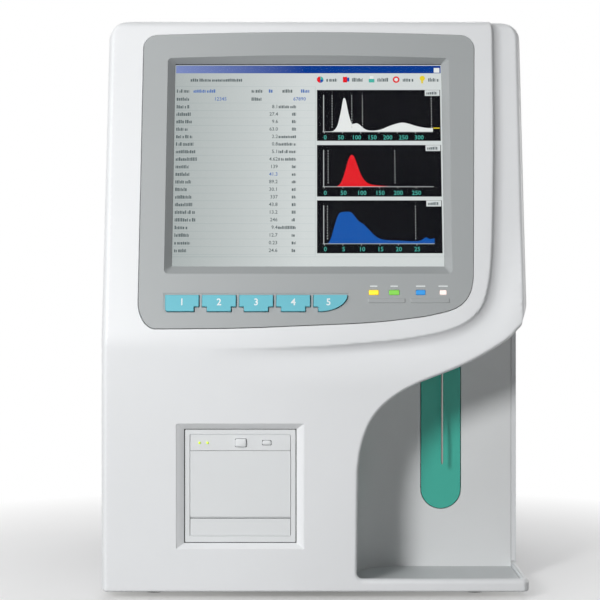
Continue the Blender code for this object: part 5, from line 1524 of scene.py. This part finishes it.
def wire_ring(radius, x, y, z):
    """A ring of wire that faces the back."""
    return settled(made(bpy.ops.mesh.primitive_torus_add, major_radius=radius, minor_radius=WIRE_RADIUS,
                        major_segments=56, minor_segments=8, location=(x, y, z),
                        rotation=(math.radians(90), 0, 0)))


def wire(start, end):
    """A straight wire between two places."""
    way = end - start
    return settled(made(bpy.ops.mesh.primitive_cylinder_add, vertices=10, radius=WIRE_RADIUS,
                        depth=way.length, location=(start + end) / 2,
                        rotation=way.to_track_quat("Z", "Y").to_euler()))


eyes = [(fan_x + side * EYE_AWAY, fan_z + up * EYE_AWAY) for side in (-1, 1) for up in (-1, 1)]
guard = [wire_ring(radius * MM, fan_x, BACK + 2.2 * MM, fan_z) for radius in (6, 11, 16, 21, 26)]
guard += [wire_ring(EYE_RADIUS, x, BACK + 0.8 * MM, z) for x, z in eyes]
middle = Vector((fan_x, BACK + 0.9 * MM, fan_z))
for x, z in eyes:
    out = Vector((x, middle.y, z)) - middle
    guard.append(wire(middle + out * 0.13, middle + out * 0.93))
guard = smooth(joined("fan_guard", guard), 40)
hand_over(guard, "chassis", chrome)
print("guard", len(guard.data.polygons), "faces")

# %% Screws, washers and plate
def round_line(radius, x=0.0, z=0.0, points=24):
    """A circle as an outline, anticlockwise."""
    turns = [2 * math.pi * i / points for i in range(points)]
    return [(x + radius * math.cos(t), z + radius * math.sin(t)) for t in turns]


SCREW = ((1.7, 1.3), (1.55, 2.1), (1.1, 2.7), (0.05, 2.9))
SLOT_LONG, SLOT_THIN = 1.7 * MM, 0.3 * MM
screw = loft("screw", [(depth * MM, round_line(radius * MM)) for depth, radius in SCREW])
for wide, tall in ((SLOT_LONG, SLOT_THIN), (SLOT_THIN, SLOT_LONG)):
    carve(screw, plate("slot", rectangle(-wide, wide, -tall, tall, 0.05 * MM), 0.8 * MM, 2 * MM))
smooth(screw, 40)
spots = [(x * MM, z * MM) for x in (-156, 156) for z in (16, 165, 310, 440)]
spots += [(x * MM, 447 * MM) for x in (-55, 55)] + [(0, 16 * MM)] + eyes
heads = []
for number, (x, z) in enumerate(spots):
    head = linked("screw_head", screw.data.copy())
    head.data.transform(Matrix.Translation((x, BACK, z)) @ Matrix.Rotation(number * 1.1, 4, "Y"))
    heads.append(head)
bpy.data.objects.remove(screw)
hand_over(joined("panel_screws", heads), "chassis", steel)

WASHER = ((0.05, 8.4), (0.5, 8.3), (0.7, 8.0), (0.7, 6.5), (0.05, 6.5))
WASHERS = {"diluent_port": (0.10, 0.24, 0.60), "lyse_port": (0.70, 0.50, 0.05),
           "rinse_port": (0.08, 0.42, 0.20), "waste_port": (0.60, 0.05, 0.05)}
for port, colour in WASHERS.items():
    low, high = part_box(port)
    x, z = (low.x + high.x) / 2, (low.z + high.z) / 2
    rings = [(BACK + depth * MM, round_line(radius * MM, x, z, 40)) for depth, radius in WASHER]
    washer = smooth(loft(port.replace("port", "washer"), rings, hollow=True), 40)
    hand_over(washer, "chassis", plastic(port + "_colour", colour, 0.42))

plate_line = rectangle(-112 * MM, -48 * MM, 268 * MM, 304 * MM, 2 * MM)
rating_plate = plate("rating_plate", plate_line, BACK + 0.45 * MM, BACK + 0.02 * MM)
soften(rating_plate, 0.15 * MM, 2, 30)
silver = metal("plate_silver", (0.70, 0.71, 0.72), 0.45, (1, 1, 0.05))
hand_over(rating_plate, "chassis", silver)
print("back details:", len(spots), "screws and", len(WASHERS), "washers")


# %% [markdown]
# ## Floor and light
# The front lamp gives most of the light, from the left and a little above, and throws the shadow into the
# bay. A higher one and one at the left soften it. A lamp at the right and one behind lift the edges. The
# background is white to the camera, in reflections and through clear parts, but it lights the case only
# weakly. The floor is pale, takes the shadow and fades into the background. It is clear from below, so
# that the underside can be seen.

# %% Lamps and world
MIDDLE = Vector((0, -0.05, 0.25))
LAMPS = {"high": ((-0.66, -1.25, 1.52), 0.5, 4), "front": ((-0.75, -1.73, 0.72), 0.4, 20),
         "left": ((-1.26, -0.72, 0.60), 0.7, 4), "right": ((1.4, 0.55, 0.5), 0.6, 5),
         "back": ((0.3, 1.6, 1.4), 1.5, 8)}
WEAK = 0.04


def whiteness(tree):
    """One for the rays that should see a white background: camera, glossy and transmission rays."""
    rays = tree.nodes.new("ShaderNodeLightPath")
    total = rays.outputs["Is Camera Ray"]
    for ray in ("Is Glossy Ray", "Is Transmission Ray"):
        either = tree.nodes.new("ShaderNodeMath")
        either.operation = "MAXIMUM"
        tree.links.new(total, either.inputs[0])
        tree.links.new(rays.outputs[ray], either.inputs[1])
        total = either.outputs[0]
    return total


for name, (place, size, power) in LAMPS.items():
    light = bpy.data.lights.new(f"{name}_light", "AREA")
    light.shape = "DISK"
    light.size = size
    light.energy = power
    lamp = linked(f"{name}_light", light)
    lamp.location = place
    lamp.rotation_euler = (MIDDLE - Vector(place)).to_track_quat("-Z", "Y").to_euler()
world = bpy.data.worlds.new("studio")
bpy.context.scene.world = world
world.use_nodes = True
background = world.node_tree.nodes["Background"]
background.inputs["Color"].default_value = (1, 1, 1, 1)
strength = world.node_tree.nodes.new("ShaderNodeMapRange")
strength.inputs["To Min"].default_value = WEAK
strength.inputs["To Max"].default_value = 1.0
world.node_tree.links.new(whiteness(world.node_tree), strength.inputs["Value"])
world.node_tree.links.new(strength.outputs["Result"], background.inputs["Strength"])
print("lamps ready")

# %% Floor
SHADE = (0.3, 0.3, 0.3, 1)
PALE = (0.86, 0.86, 0.865)
floor = made(bpy.ops.mesh.primitive_grid_add, x_subdivisions=8, y_subdivisions=8, size=6)
floor.name = "floor"
pale = Finish("pale_floor", PALE, 0.55)
grain = pale.noise(160, 4)
pale.bump(grain, 0.05 * MM, 0.4)
pale.set("Roughness", grain * 0.1 + 0.5)
seen = Wire(pale, whiteness(pale.tree))
pale.set("Base Color", pale.mix(seen, SHADE, (*PALE, 1)))
x, y, z = pale.axes()
away = ((x * x + y * y).root() - 0.1) * 2.2
glow = pale.add("ShaderNodeEmission", {}, {"Color": (1, 1, 1, 1), "Strength": 1.0})
clear = pale.add("ShaderNodeBsdfTransparent")
below = pale.add("ShaderNodeNewGeometry").socket.node.outputs["Backfacing"]


def blend(share, first, second):
    """Two shaders mixed by a share."""
    return pale.add("ShaderNodeMixShader", {}, {0: share, 1: first, 2: second})


top_side = blend(away.capped() * seen, Wire(pale, pale.shader.outputs[0]), glow)
surface = blend(Wire(pale, below), top_side, clear)
pale.join(surface, pale.tree.nodes["Material Output"].inputs["Surface"])
floor.data.materials.append(pale.material)
print("floor ready")

# %% Import json
import json
